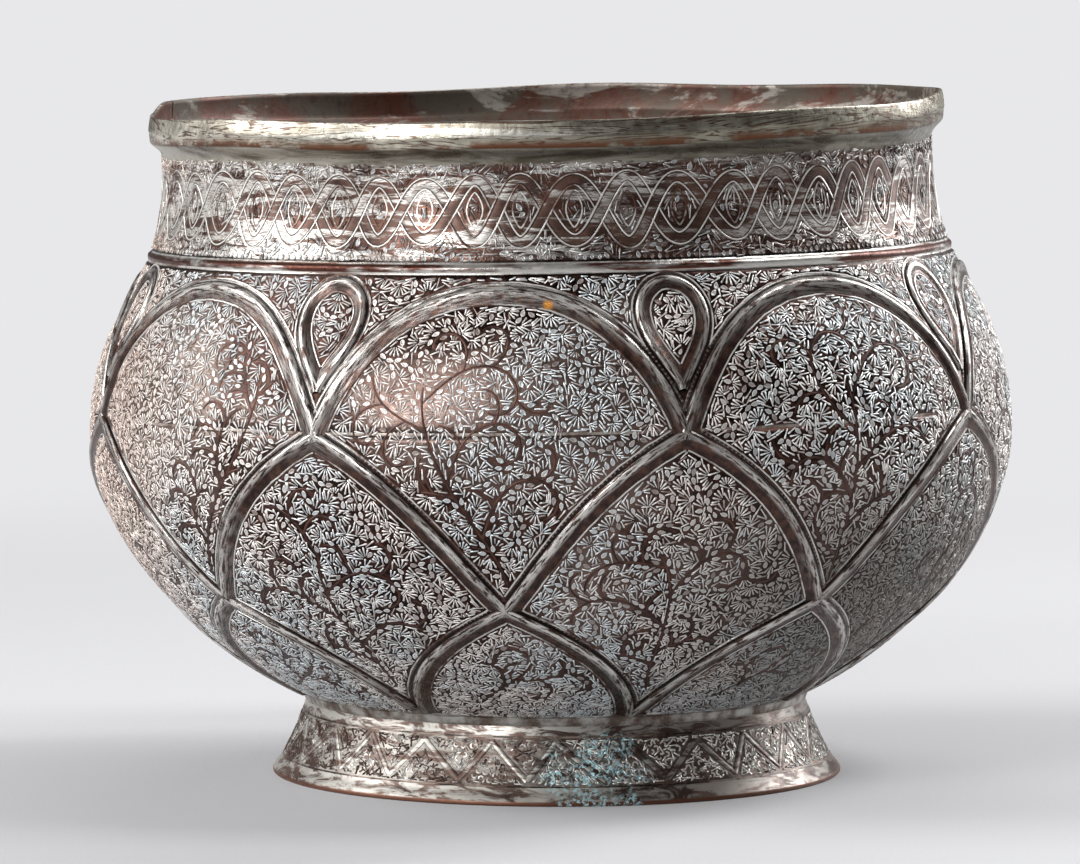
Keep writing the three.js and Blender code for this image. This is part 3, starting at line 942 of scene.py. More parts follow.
# Short chains of leaves on an arc, with a fan of strokes inside it
def layPalmettes(ground, tries, reach):
    length, width = chasing["leaf"]
    for _ in range(tries):
        angle, run = anyPlace(ground)
        heading = luck.uniform(0, 2 * math.pi)
        spread = luck.uniform(reach * 0.8, reach)
        fan = luck.randint(5, 8)
        if not layFan(ground, angle, run, heading, fan, 0.4, 0.9 * mm, spread - 1.35 * mm, least=4):
            continue
        count = luck.randint(2, 5)
        for index in range(count):
            turn = heading + (index - (count - 1) / 2) * length * 1.12 / spread
            spot = moved(ground, angle, run, turn, spread)
            layMark(ground, "leaf", *spot, turn + math.pi / 2, length, width, 0.1 * mm)


# Lone fans, from twigs of three strokes to flowers of nine
def layFans(ground, tries, reach):
    for _ in range(tries):
        angle, run = anyPlace(ground)
        count = luck.choice((3, 4, 5, 6, 7, 9))
        outer = luck.uniform(reach * 0.7, reach)
        heading = luck.uniform(0, 2 * math.pi)
        layFan(ground, angle, run, heading, count, 0.42, chasing["fanRoot"], outer, least=count - 1)


# What is still free takes leaves and strokes, one try from each free cell in a shuffled order
def fillGround(ground, leafShare, shorter, spare=None):
    rows, turns = ground["rows"], chasing["turns"]
    leafLength, leafWidth = chasing["leaf"]
    strokeLength, strokeWidth = chasing["stroke"]
    for share in shorter:
        free = np.flatnonzero(np.frombuffer(ground["taken"], np.uint8) == 0)
        order = list(range(len(free)))
        luck.shuffle(order)
        for index in order:
            cell = int(free[index])
            if ground["taken"][cell]:
                continue
            angle = (cell // rows + 0.5) * 360 / turns
            run = ground["low"] + (cell % rows + 0.5) * chasing["cell"]
            flow = [
                size * math.sin(angle * turns + run * climb + start)
                for size, turns, climb, start in chasing["flow"]
            ]
            heading = sum(flow) + luck.uniform(-0.9, 0.9)
            if luck.random() < leafShare * share:
                size = luck.uniform(0.75, 1.1) * share
                layMark(ground, "leaf", angle, run, heading, leafLength * size, leafWidth * size, spare)
                continue
            length = strokeLength * luck.uniform(0.8, 1.1) * share
            for turn in (0, luck.choice((-1, 1))):
                if layMark(ground, "stroke", angle, run, heading + turn, length, strokeWidth, spare):
                    break


# A mark raised from its outline, with a smaller top that may be sunk in its middle
def struckShape(outline, topSize, inset=0.0, sunk=0.0):
    deselectAll()
    bpy.ops.mesh.primitive_circle_add(vertices=len(outline), fill_type="NGON")
    shape = bpy.context.object
    moveVertices(shape, [(along, beside, 0) for along, beside in outline])
    bpy.ops.object.mode_set(mode="EDIT")
    bpy.ops.mesh.select_all(action="SELECT")
    bpy.ops.mesh.extrude_region_move(TRANSFORM_OT_translate={"value": (0, 0, 1)})
    bpy.ops.transform.resize(value=(*topSize, 1))
    if inset:
        bpy.ops.mesh.inset(thickness=inset)
        bpy.ops.transform.translate(value=(0, 0, -sunk))
    bpy.ops.object.mode_set(mode="OBJECT")
    tidyMesh(shape)
    return shape


# Half outlines of (along, beside) points: the leaf has a pointed tip, the stroke a broad head
leafHalf = [(-0.5, -0.16), (-0.25, -0.46), (0.1, -0.44), (0.5, -0.06)]
strokeHalf = [(-0.5, -0.3), (0.1, -0.34), (0.34, -0.6), (0.5, -0.3)]


def bothHalves(half):
    other = [(along, -beside) for along, beside in half]
    return other[:1] + half + other[:0:-1]


shapes = {
    "leaf": struckShape(bothHalves(leafHalf), (0.88, 0.88), inset=0.11, sunk=0.28),
    "stroke": struckShape(bothHalves(strokeHalf), (0.96, 0.8)),
}


# Each struck mark becomes a copy of its shape, a little larger than the cells that it was given
def layShapes(name, ground, kind, grow=0.25 * mm):
    marks = np.array(ground[kind])
    marks = marks[np.lexsort((marks[:, 1], marks[:, 0] % 360))]
    angle, run, heading, length, width = (marks[:, column, None] for column in range(5))
    corners = verticesOf(shapes[kind])
    rng = np.random.default_rng(len(marks))
    tone = rng.random((len(marks), 1))
    forward = corners[None, :, 0] * (length + grow)
    sideways = corners[None, :, 1] * (width + grow)
    radius = radiusAt(ground["profile"], run)
    place = angle + np.degrees((forward * np.cos(heading) - sideways * np.sin(heading)) / radius)
    place = np.stack([place, run + forward * np.sin(heading) + sideways * np.cos(heading)])
    tilt = rng.uniform(-0.5, 0.5, (len(marks), 2))
    tilted = tilt[:, :1] * corners[None, :, 0] + tilt[:, 1:] * corners[None, :, 1]
    height = chasing["top"][kind] * (0.85 + 0.3 * tone + tilted)
    lift = chasing["sunk"] + corners[None, :, 2] * (height - chasing["sunk"])
    spots = surfacePoints(ground["profile"], *place, lift)
    edge = np.broadcast_to(corners[None, :, 2], spots.shape[:2])
    faces = len(marks) * len(shapes[kind].data.polygons) * 2.2
    parts = max(1, math.ceil(faces / chasing["facesPerPiece"]))
    pieces = []
    for part, chosen in enumerate(np.array_split(np.arange(len(marks)), parts)):
        values = {
            "edge": edge[chosen],
            "tone": np.broadcast_to(tone[chosen], edge[chosen].shape),
        }
        pieces.append(copiesInto(f"{name}_{part + 1}", shapes[kind], spots[chosen], values))
    return pieces


def layBothShapes(name, ground):
    return layShapes(f"{name}_leaves", ground, "leaf") + layShapes(f"{name}_strokes", ground, "stroke")


belly = makeGround(body, 1.8 * mm, mouldingRun - 2.9 * mm, ribbed)
plantCells(belly)
layPalmettes(belly, 14000, 6.3 * mm)
layPalmettes(belly, 12000, 5.0 * mm)
layFans(belly, 12000, 4.8 * mm)
fillGround(belly, 0.24, (1.0, 0.7))
stem = {
    "section": [(-0.48, -0.2), (-0.34, 0.04), (-0.1, 0.12), (0.1, 0.12), (0.34, 0.04), (0.48, -0.2)],
    "step": 1.1 * mm,
    "taper": 4 * mm,
}
stemPiece = stripsAlong(
    "vine_stems", body, belly["stems"], inMetres(stem["section"]), stem["step"], taper=stem["taper"]
)
bellyMarks = layBothShapes("belly", belly)
print("belly chased:", len(belly["leaf"]), "leaves", len(belly["stroke"]), "strokes")

# Neck band: two plaited straps round the neck with a pointed leaf in each eye
neck = {
    "waves": 24,
    "swing": 10.6 * mm,
    "strapWidth": 4.2 * mm,
    "over": 0.1 * mm,
    "leafWidth": 5.4 * mm,
    "leafHeight": 12.5 * mm,
    "halfSection": [
        (-2.35, -0.2), (-2.2, 0.22), (-1.9, 0.22), (-1.75, 0.04), (-1.45, 0.03), (-1.1, 0.08), (0, 0.11),
    ],
    "thickness": 0.25 * mm,
    "phaseWaves": ((0.35, 3, 0), (0.3, 5, 1), (0.12, 19, 0)),
    "rowPitch": 2.5 * mm,
    "dot": (1.7 * mm, 1.15 * mm),
    "fanTries": 900,
    "fanReach": 3.6 * mm,
}
neckLow = mouldingRun + 3.0 * mm
neckHigh = neckRun + rim["plainNeck"] + 1.2 * mm
neckMiddle = (neckLow + neckHigh) / 2


# Drawn by hand, so the waves are not all of one length and height
def neckPhase(angle):
    turn = np.radians(angle)
    phase = turn * neck["waves"]
    for size, count, start in neck["phaseWaves"]:
        phase = phase + size * np.sin(count * turn + start)
    return phase


def strapLines():
    angle = np.linspace(0, 360, 1441)
    phase = neckPhase(angle)
    turn = np.radians(angle)
    swing = neck["swing"] * (1 + 0.05 * np.sin(7 * turn) + 0.05 * np.sin(17 * turn + 2))
    lines = [np.stack([angle, neckMiddle + side * swing * np.sin(phase)], -1) for side in (1, -1)]
    lifts = [side * neck["over"] * np.cos(phase) + neck["over"] for side in (1, -1)]
    return lines, lifts


def eyeLeaves():
    turn = np.linspace(0, 2 * math.pi, 25)
    sideways = np.sin(turn) * (1 - 0.55 * np.cos(turn) ** 2) * neck["leafWidth"] / 2
    upright = -np.cos(turn) * neck["leafHeight"] / 2
    degree = math.degrees(1 / radiusAt(body, neckMiddle))
    angle = np.linspace(-4, 364, 4417)
    centres = np.interp((np.arange(neck["waves"] * 2) + 0.5) * math.pi, neckPhase(angle), angle)
    return [np.stack([centre + sideways * degree, neckMiddle + upright], -1) for centre in centres]


def blockLines(ground, lines, width, profile=None):
    for line in lines:
        spots = evenly(line, 0.5 * mm, profile)
        for first, second in zip(spots[:-1], spots[1:]):
            perMetre = ground["degrees"][rowOf(ground, first[1])]
            heading = math.atan2(second[1] - first[1], (second[0] - first[0]) / perMetre)
            takeCells(ground, underMark(ground, *first, heading, 0.7 * mm, width))


def makeNeck():
    lines, lifts = strapLines()
    section = symmetric(neck["halfSection"])
    straps = stripsAlong("neck_straps", body, lines, section, 1.1 * mm, neck["thickness"], lifts)
    leaves = eyeLeaves()
    outlines = stripsAlong("neck_eye_leaves", body, leaves, edgeSection, 1 * mm)
    ground = makeGround(body, neckLow - 0.6 * mm, neckHigh + 0.6 * mm, None)
    blockLines(ground, lines, neck["strapWidth"] + 1.0 * mm)
    blockLines(ground, leaves, 0.9 * mm)
    length, width = neck["dot"]
    for run in (neckLow + 0.5 * mm, neckHigh - 0.5 * mm):
        pitch = neck["rowPitch"] * ground["degrees"][rowOf(ground, run)]
        for index in range(int(360 / pitch)):
            heading = math.pi / 2 + luck.uniform(-0.25, 0.25)
            height = run + luck.uniform(-1, 1) * 0.3 * mm
            layMark(ground, "leaf", index * pitch, height, heading, length, width)
    layFans(ground, neck["fanTries"], neck["fanReach"])
    fillGround(ground, 0.6, (1.15, 0.8), 0.35 * mm)
    print("neck chased:", len(ground["leaf"]), "leaves", len(ground["stroke"]), "strokes")
    return straps, outlines, layBothShapes("neck", ground)


neckStraps, neckLeaves, neckMarks = makeNeck()

# Foot ring: a flared strip with a flat flange, closed by a brazed seam at the back
foot = {
    "radius": (footHigh.x - footLow.x) / 2,
    "thickness": 1.4 * mm,
    "flangeReach": 2.5 * mm,
    "flangeRise": 2.7 * mm,
    "flangeThickness": 1.7 * mm,
    "topHeight": footHigh.z,
    "corner": 0.4 * mm,
    "seamAngle": 172.0,
    "seamWidth": 1.5 * mm,
    "turns": 360,
    "apexes": 24,
    "zigLow": 8.0 * mm,
    "zigHigh": 20.4 * mm,
    "zigHalf": [
        (-1.75, -0.2), (-1.65, 0.05), (-1.5, 0.05), (-1.38, -0.08), (-1.15, -0.08), (-1.03, 0.06),
        (0, 0.09),
    ],
    "line": (0.4, 0.25, 0.1),
    "curl": (0.42, 0.24, 0.2),
    "curlTries": 16000,
    "curlSize": 2.1 * mm,
    "jitter": 1.6,
}


def footProfile():
    edge, thick, corner = foot["radius"], foot["flangeThickness"], foot["corner"]
    waist = (edge - foot["flangeReach"], thick + foot["flangeRise"])
    rise = foot["topHeight"] - waist[1]
    top = (bowl["seatRadius"], foot["topHeight"])
    wall = [waist, (waist[0] - rise * 0.21, waist[1] + rise * 0.32)]
    wall += [(top[0] + rise * 0.08, top[1] - rise * 0.3), top]
    rimLine = np.array([(edge - corner, 0), (edge, corner), (edge, thick - corner)])
    slope = [(edge, thick - corner), (edge - corner, thick + corner), waist]
    return makeProfile([rimLine, bezier(slope, 8), bezier(wall, 40)], 0)


footShape = footProfile()
footTopRun = footShape["run"][-1]


def footOutline():
    runs = np.concatenate([footShape["run"][:10], np.linspace(footShape["run"][10], footTopRun, 16)])
    waistRun = runAt(footShape, foot["flangeThickness"] + foot["flangeRise"])
    inner = sectionPoints(footShape, np.linspace(footTopRun, waistRun, 14), -foot["thickness"])
    heel = [(inner[-1, 0] + foot["flangeReach"] * 0.15, 0.0)]
    return np.vstack([sectionPoints(footShape, runs, 0.0), inner, heel])


def makeFoot():
    outline = footOutline()
    half = math.degrees(foot["seamWidth"] / 2 / bowl["seatRadius"])
    ring = spunOutline(
        "foot_strip", outline, foot["turns"], start=foot["seamAngle"] - half, angle=360 - 2 * half
    )
    seamSlice = spunOutline("foot_seam", outline, 4, start=foot["seamAngle"] + half, angle=2 * half)
    for piece in (ring, seamSlice):
        moveVertices(piece, settled(verticesOf(piece)))
        selectOnly(piece)
        bpy.ops.object.shade_smooth_by_angle(angle=math.radians(40))
    return ring, seamSlice


# Fillet of soft solder where the foot meets the body
solder = {
    "toe": 3.0 * mm,
    "drop": 2.6 * mm,
    "reach": 4 * mm,
    "clear": 0.05 * mm,
    "turns": 300,
    "ripple": 0.12 * mm,
}


def makeSolder():
    def onBody(radius):
        line = body["run"] < body["run"][-1] * 0.3
        height = float(np.interp(radius, body["radius"][line], body["height"][line]))
        return (radius, height + solder["clear"])

    top, radius = foot["topHeight"], bowl["seatRadius"]
    inside = radius - foot["thickness"] - 0.1 * mm
    outline = [
        onBody(radius - foot["thickness"] - solder["reach"]),
        (inside, top - solder["drop"]),
        (inside, top),
        (radius + solder["clear"], top),
        (radius + 0.2 * mm, top - solder["drop"] * 0.45),
        (radius + 0.75 * mm, top - solder["drop"] * 0.1),
        (radius + 1.5 * mm, onBody(radius + 1.5 * mm)[1] - 0.55 * mm),
        onBody(radius + solder["toe"]),
        onBody(radius - foot["thickness"] / 2),
    ]
    piece = spunOutline("foot_solder_bead", outline, solder["turns"])
    spots = verticesOf(piece)
    turn = np.arctan2(spots[:, 0], -spots[:, 1])
    ripple = solder["ripple"] * (np.sin(17 * turn) + np.sin(41 * turn + 2))
    outside = smooth(np.hypot(spots[:, 0], spots[:, 1]), radius, radius + 1 * mm)
    spots[:, 2] -= ripple * outside
    moveVertices(piece, settled(spots))
    return piece


# Feet and apexes of the zigzag stand a little out of step, as the real ones do
def zigzagLines():
    half = 180 / foot["apexes"]
    low, high = runAt(footShape, foot["zigLow"]), runAt(footShape, foot["zigHigh"])
    corners = [index * half + luck.uniform(-1, 1) * foot["jitter"] for index in range(foot["apexes"] * 2)]
    corners.append(corners[0] + 360)
    lines = []
    for index, (start, end) in enumerate(zip(corners[:-1], corners[1:])):
        run = np.linspace(low, high, 14)
        lines.append(np.stack([np.linspace(start, end, 14), run[::-1] if index % 2 else run], -1))
    return lines


# Small crescents, each struck where there is room for it
def layCurls(ground):
    ground["curl"] = []
    size = foot["curlSize"]
    for _ in range(foot["curlTries"]):
        layMark(ground, "curl", *anyPlace(ground), luck.uniform(0, 6.28), size, size, 0.25 * mm)
    lines = []
    for angle, run, heading, length, _ in ground["curl"]:
        turn = heading + np.linspace(0, luck.uniform(3.0, 4.2), 9)
        reach = length * luck.uniform(0.36, 0.46)
        degree = ground["degrees"][rowOf(ground, run)]
        lines.append(np.stack([angle + reach * np.cos(turn) * degree, run + reach * np.sin(turn)], -1))
    return lines


def makeFootChasing():
    zigzag = zigzagLines()
    bands = stripsAlong("foot_zigzag", footShape, zigzag, symmetric(foot["zigHalf"]), 1.2 * mm)
    circles = [
        np.stack([np.linspace(0, 360, 361), np.full(361, runAt(footShape, height))], -1)
        for height in (foot["zigLow"] - 1.9 * mm, foot["zigHigh"] + 1.6 * mm)
    ]
    rings = stripsAlong("foot_ring_lines", footShape, circles, lineSection(*foot["line"]), 1.5 * mm)
    low, high = runAt(footShape, foot["zigLow"] - 1.2 * mm), runAt(footShape, foot["zigHigh"] + 1 * mm)
    ground = makeGround(footShape, low, high, None)
    blockLines(ground, zigzag, 3.6 * mm, footShape)
    curls = layCurls(ground)
    section = lineSection(*foot["curl"])
    curlPiece = stripsAlong("foot_curls", footShape, curls, section, 0.6 * mm, taper=0.6 * mm)
    fillGround(ground, 0.15, (0.8, 0.55), 0.2 * mm)
    print("foot chased:", len(curls), "curls", len(ground["stroke"]), "strokes")
    return bands, rings, [curlPiece] + layBothShapes("foot", ground)


footStrip, footSeam = makeFoot()
solderBead = makeSolder()
footBands, footRings, footMarks = makeFootChasing()
for shape in shapes.values():
    bpy.data.objects.remove(shape)
print("foot made")


# Colours are given as they look on a screen, from 0 to 255
def tint(red, green, blue):
    return tuple(((value / 255 + 0.055) / 1.055) ** 2.4 for value in (red, green, blue)) + (1.0,)


class Nodes:
    def __init__(self, name, metallic=0.6):
        self.material = bpy.data.materials.new(name)
        self.material.use_nodes = True
        self.tree = self.material.node_tree
        self.shader = self.tree.nodes["Principled BSDF"]
        self.shader.inputs["Metallic"].default_value = metallic
        self.place = self.add("ShaderNodeTexCoord").outputs["Object"]

    def add(self, kind, inputs=None, **settings):
        node = self.tree.nodes.new(kind)
        for key, value in settings.items():
            setattr(node, key, value)
        for key, value in (inputs or {}).items():
            self.put(node.inputs[key], value)
        return node

    def put(self, socket, value):
        if isinstance(value, bpy.types.NodeSocket):
            self.tree.links.new(value, socket)
        else:
            socket.default_value = value

    def noise(self, scale, detail=3.0, rough=0.55, stretch=None, warp=0.0):
        place = self.place
        if stretch:
            place = self.add("ShaderNodeMapping", {"Vector": place, "Scale": stretch}).outputs["Vector"]
        inputs = {"Vector": place, "Scale": scale, "Detail": detail, "Roughness": rough}
        return self.add("ShaderNodeTexNoise", {**inputs, "Distortion": warp}).outputs["Fac"]

    def between(self, value, low, high, start=0.0, end=1.0):
        inputs = {"Value": value, "From Min": low, "From Max": high, "To Min": start, "To Max": end}
        return self.add("ShaderNodeMapRange", inputs, interpolation_type="SMOOTHSTEP").outputs["Result"]

    def mix(self, share, first, second):
        node = self.add("ShaderNodeMix", data_type="RGBA")
        self.put(node.inputs[0], share)
        self.put(node.inputs[6], first)
        self.put(node.inputs[7], second)
        return node.outputs[2]

    def calc(self, operation, first, second=0.0):
        node = self.add("ShaderNodeMath", operation=operation)
        self.put(node.inputs[0], first)
        self.put(node.inputs[1], second)
        return node.outputs[0]

    def times(self, first, second):
        return self.calc("MULTIPLY", first, second)

    def awayFrom(self, value, level):
        return self.calc("ABSOLUTE", self.calc("SUBTRACT", value, level))

    # Rises to one over the first pair of values and falls from the most to none over the second
    def stripe(self, value, rise, fall, most=1.0):
        return self.times(self.between(value, *rise), self.between(value, *fall, most, 0))

    def near(self, name):
        centre, reach = special[name]
        gap = self.add("ShaderNodeVectorMath", operation="DISTANCE")
        self.put(gap.inputs[0], self.place)
        gap.inputs[1].default_value = centre
        return self.between(gap.outputs["Value"], reach * 0.3, reach, 1, 0)

    def attribute(self, name):
        return self.add("ShaderNodeAttribute", attribute_name=name).outputs["Fac"]

    def part(self, axis):
        return self.add("ShaderNodeSeparateXYZ", {"Vector": self.place}).outputs[axis]

    def finish(self, colour, roughness, bump, strength, distance=0.0003):
        self.put(self.shader.inputs["Base Color"], colour)
        self.put(self.shader.inputs["Roughness"], roughness)
        relief = self.add("ShaderNodeBump", {"Height": bump, "Strength": strength, "Distance": distance})
        self.put(self.shader.inputs["Normal"], relief.outputs["Normal"])
        return self.material


colours = {
    "black": tint(14, 9, 8),
    "dark": tint(28, 14, 10),
    "copper": tint(78, 50, 40),
    "bright": tint(128, 109, 101),
    "tin": tint(186, 183, 178),
    "paleTin": tint(206, 203, 198),
    "rust": tint(96, 62, 42),
    "green": tint(176, 212, 218),
}
# Places with a look of their own, and a patch of painted sheen on the left lobe: centre and reach
special = {
    "paintedSheenLobe": ((-0.128, -0.092, 0.14), 0.055),
    "tinnedCrossing": ((-0.061, -0.148, 0.142), 0.034),
    "orangeSpot": ((0.0153, -0.1447, 0.171), 0.0023),
    "verdigris": ((0.0265, -0.094, 0.011), 0.023),
}


# Outside of the two sheets: dark chased copper with a painted sheen on the left lobe and painted shade at
# the lower right, streaked tin on the neck, and stained tin on the cove and collar, painted darker to the
# right as shade
def groundMaterial():
    nodes = Nodes("worn_tinned_copper", 0.85)
    run = nodes.attribute("run")
    grain = nodes.noise(420, 4, 0.6)
    patch = nodes.noise(11, 5, 0.6, warp=0.6)
    copper = nodes.mix(nodes.between(grain, 0.38, 0.72), colours["dark"], colours["copper"])
    copper = nodes.mix(nodes.between(patch, 0.48, 0.66, 0, 0.55), copper, colours["bright"])
    # Painted sheen: the ground of the left lobe goes pale pink, where the key light reflects
    lobe = nodes.times(nodes.near("paintedSheenLobe"), nodes.between(patch, 0.34, 0.5))
    copper = nodes.mix(nodes.times(lobe, 0.6), copper, tint(162, 146, 136))
    neckStart = mouldingRun / mm - 2.6
    colour = nodes.mix(nodes.between(run, neckStart, neckStart + 0.7), copper, neckTin(nodes))
    colour = mouldingTin(nodes, run, colour)
    streak = nodes.noise(1, 5, 0.62, stretch=(30, 30, 200), warp=0.8)
    cove = nodes.mix(nodes.between(streak, 0.36, 0.6), tint(84, 74, 62), tint(164, 159, 147))
    # Painted shade: the cove goes darker towards the right, away from the key light
    cove = nodes.mix(nodes.between(nodes.part("X"), -0.07, 0.04, 0, 0.55), cove, tint(62, 60, 48))
    coveStart = (neckRun + rim["plainNeck"]) / mm
    colour = nodes.mix(nodes.between(run, coveStart - 0.6, coveStart + 1.6), colour, cove)
    onCollar = nodes.between(run, lipRun / mm - 0.8, lipRun / mm + 0.1)
    colour = nodes.mix(onCollar, colour, collarTin(nodes, run))
    # Painted shade: the ground goes dark towards the lower right
    colour = nodes.mix(paintedShadeLowerRight(nodes), colour, tint(32, 26, 21))
    return nodes.finish(colour, nodes.between(grain, 0.3, 0.7, 0.26, 0.46), grain, 0.5)


# The lower right of the belly is painted darker and olive: painted shade away from the light
def paintedShadeLowerRight(nodes):
    right = nodes.between(nodes.part("X"), 0.03, 0.11, 0, 0.75)
    return nodes.times(right, nodes.between(nodes.part("Z"), 0.075, 0.125, 1, 0))


# Thin contour lines, where a soft noise passes through each of the levels
def contours(nodes, waves, levels, thin, most, colour, line):
    for level in levels:
        colour = nodes.mix(nodes.between(nodes.awayFrom(waves, level), *thin, most, 0), colour, line)
    return colour


# Bare brown copper with bright streaks of tin that run round the neck
def neckTin(nodes):
    streak = nodes.noise(1, 6, 0.66, stretch=(34, 34, 250), warp=1.0)
    cloud = nodes.noise(18, 3, 0.5)
    bare = nodes.mix(nodes.between(nodes.noise(90, 4), 0.36, 0.64), tint(92, 66, 56), tint(46, 30, 25))
    streak = nodes.calc("ADD", streak, nodes.between(nodes.part("X"), -0.11, 0.0, 0.045, 0))
    share = nodes.times(nodes.between(streak, 0.48, 0.55), nodes.between(cloud, 0.34, 0.52, 0.4, 1))
    colour = nodes.mix(share, bare, colours["tin"])
    waves = nodes.noise(1, 5, 0.62, stretch=(24, 24, 150), warp=1.0)
    levels = (0.37, 0.43, 0.49, 0.55, 0.61)
    return contours(nodes, waves, levels, (0.005, 0.017), 0.8, colour, tint(78, 56, 47))


# The raised moulding, worn bright on its edges, between two black grooves
def mouldingTin(nodes, run, colour):
    away = nodes.awayFrom(run, mouldingRun / mm)
    wear = nodes.noise(1, 5, 0.62, stretch=(24, 24, 160))
    worn = nodes.mix(nodes.between(wear, 0.47, 0.6), tint(74, 43, 34), colours["tin"])
    edge = nodes.mix(nodes.between(wear, 0.36, 0.5), tint(120, 96, 84), colours["paleTin"])
    colour = nodes.mix(nodes.between(away, 1.9, 2.1, 1, 0), colour, edge)
    colour = nodes.mix(nodes.between(away, 1.25, 1.5, 1, 0), colour, worn)
    beside = nodes.awayFrom(away, sheet["mouldingWidth"] * 0.68 / mm)
    return nodes.mix(nodes.between(beside, 0.12, 0.5, 0.9, 0), colour, colours["black"])


# Thick old tin with dark wavy lines, painted darker to the right as shade, worn to brown copper along the
# lower lip
def collarTin(nodes, run):
    waves = nodes.noise(1, 4, 0.6, stretch=(10, 10, 120), warp=0.9)
    stains = nodes.noise(34, 5, 0.6)
    tin = nodes.mix(nodes.between(stains, 0.38, 0.62), tint(200, 194, 180), tint(132, 126, 112))
    # A darker copy of the stained tin, mixed in towards the right as painted shade
    shadedTin = nodes.mix(nodes.between(stains, 0.36, 0.6), tint(130, 127, 113), tint(80, 74, 62))
    tin = nodes.mix(nodes.between(nodes.part("X"), -0.08, 0.03, 0, 0.85), tin, shadedTin)
    tin = nodes.mix(nodes.between(waves, 0.52, 0.7, 0, 0.6), tin, tint(204, 202, 194))
    levels = (0.36, 0.43, 0.5, 0.57, 0.63)
    tin = contours(nodes, waves, levels, (0.004, 0.012), 0.85, tin, tint(70, 46, 35))
    hem = nodes.calc("SUBTRACT", run, lipRun / mm)
    spots = nodes.between(nodes.noise(60, 5, 0.62), 0.42, 0.54)
    tin = nodes.mix(nodes.times(nodes.between(hem, 0.4, 3.6, 1, 0), spots), tin, colours["rust"])
    return nodes.mix(nodes.between(hem, -0.6, 0.7, 0.75, 0), tin, tint(44, 30, 24))


def innerMaterial():
    nodes = Nodes("inside_worn_tin", 0.5)
    grain = nodes.noise(260, 5, 0.65)
    cloud = nodes.noise(30, 6, 0.62, warp=0.6)
    film = nodes.noise(1, 6, 0.65, stretch=(26, 26, 80), warp=0.9)
    base = nodes.mix(nodes.between(cloud, 0.42, 0.58), tint(92, 58, 46), tint(84, 76, 67))
    base = nodes.mix(nodes.between(film, 0.54, 0.63, 0, 0.8), base, tint(160, 154, 146))
    base = nodes.mix(nodes.between(grain, 0.5, 0.7, 0, 0.6), base, tint(62, 35, 29))
    return nodes.finish(base, nodes.between(cloud, 0.3, 0.7, 0.4, 0.6), grain, 0.5)


# Chased band: bare copper flank, tin streaks on the ridge, then a dark groove and a notched strip.
# The ridge and the groove are given as their two edges across the band, in millimetres. The top share is
# the tin on the upper arches, partly real tin and partly a painted highlight.
def ribMaterial(name, ridge, groove, topTinAndSheen):
    nodes = Nodes(name, 0.62)
    across = nodes.attribute("across")
    along = nodes.attribute("along")
    grain = nodes.noise(300, 4, 0.6)
    flank = nodes.mix(nodes.between(grain, 0.35, 0.7), tint(36, 21, 16), tint(78, 53, 43))
    spot = nodes.add("ShaderNodeCombineXYZ", {"X": along, "Y": nodes.times(across, 8.0)})
    streakInputs = {"Vector": spot.outputs[0], "Scale": 0.17, "Detail": 6.0, "Roughness": 0.66}
    streak = nodes.add("ShaderNodeTexNoise", streakInputs).outputs["Fac"]
    place = nodes.between(nodes.noise(20, 3), 0.36, 0.58, 0.5, 1)
    tin = nodes.times(nodes.between(streak, 0.43, 0.53), place)
    onRidge = nodes.stripe(across, (ridge[0] - 0.8, ridge[0] + 0.8), (ridge[1] - 0.2, ridge[1] + 0.3))
    broad = nodes.between(nodes.noise(15, 4, 0.6, warp=0.8), 0.56, 0.7, 0, 0.75)
    crossing = nodes.between(nodes.near("tinnedCrossing"), 0, 1, 0, 0.7)
    # Painted highlight: pale tin over the upper arches, partly real tin and partly the highlight where
    # the top light reflects
    shoulderTinAndSheen = nodes.between(nodes.part("Z"), 0.155, 0.172, 0, topTinAndSheen)
    broad = nodes.calc("MAXIMUM", nodes.calc("MAXIMUM", broad, crossing), shoulderTinAndSheen)
    broad = nodes.times(broad, nodes.between(streak, 0.42, 0.56))
    broad = nodes.times(broad, nodes.between(across, -2.4, 0.2, 0.25, 1))
    share = nodes.calc("MAXIMUM", nodes.times(onRidge, tin), broad)
    colour = nodes.mix(share, flank, tint(202, 199, 194))
    inGroove = nodes.stripe(across, (groove[0] - 0.3, groove[0]), (groove[1], groove[1] + 0.3))
    inGroove = nodes.times(inGroove, nodes.between(nodes.noise(36, 3), 0.36, 0.56, 0.35, 0.9))
    colour = nodes.mix(inGroove, colour, colours["black"])
    notch = nodes.awayFrom(nodes.calc("FRACT", nodes.times(along, 0.6)), 0.5)
    onStrip = nodes.between(across, groove[1] + 0.1, groove[1] + 0.25)
    notches = nodes.times(nodes.between(notch, 0.1, 0.2, 0.75, 0), onStrip)
    notches = nodes.times(notches, nodes.between(nodes.noise(60, 3), 0.4, 0.55))
    colour = nodes.mix(notches, colour, tint(150, 145, 140))
    colour = nodes.mix(nodes.near("orangeSpot"), colour, tint(206, 138, 56))
    return nodes.finish(colour, nodes.between(streak, 0.3, 0.7, 0.36, 0.2), streak, 0.4)


def tinLineMaterial():
    nodes = Nodes("tin_in_edge_lines", 0.5)
    uneven = nodes.between(nodes.noise(16), 0.3, 0.7, -0.07, 0.07)
    worn = nodes.calc("ADD", nodes.noise(70, 5, 0.65), uneven)
    colour = nodes.mix(nodes.between(worn, 0.4, 0.56), tint(84, 58, 48), tint(206, 204, 200))
    return nodes.finish(colour, nodes.between(worn, 0.3, 0.7, 0.45, 0.34), nodes.noise(500), 0.3)
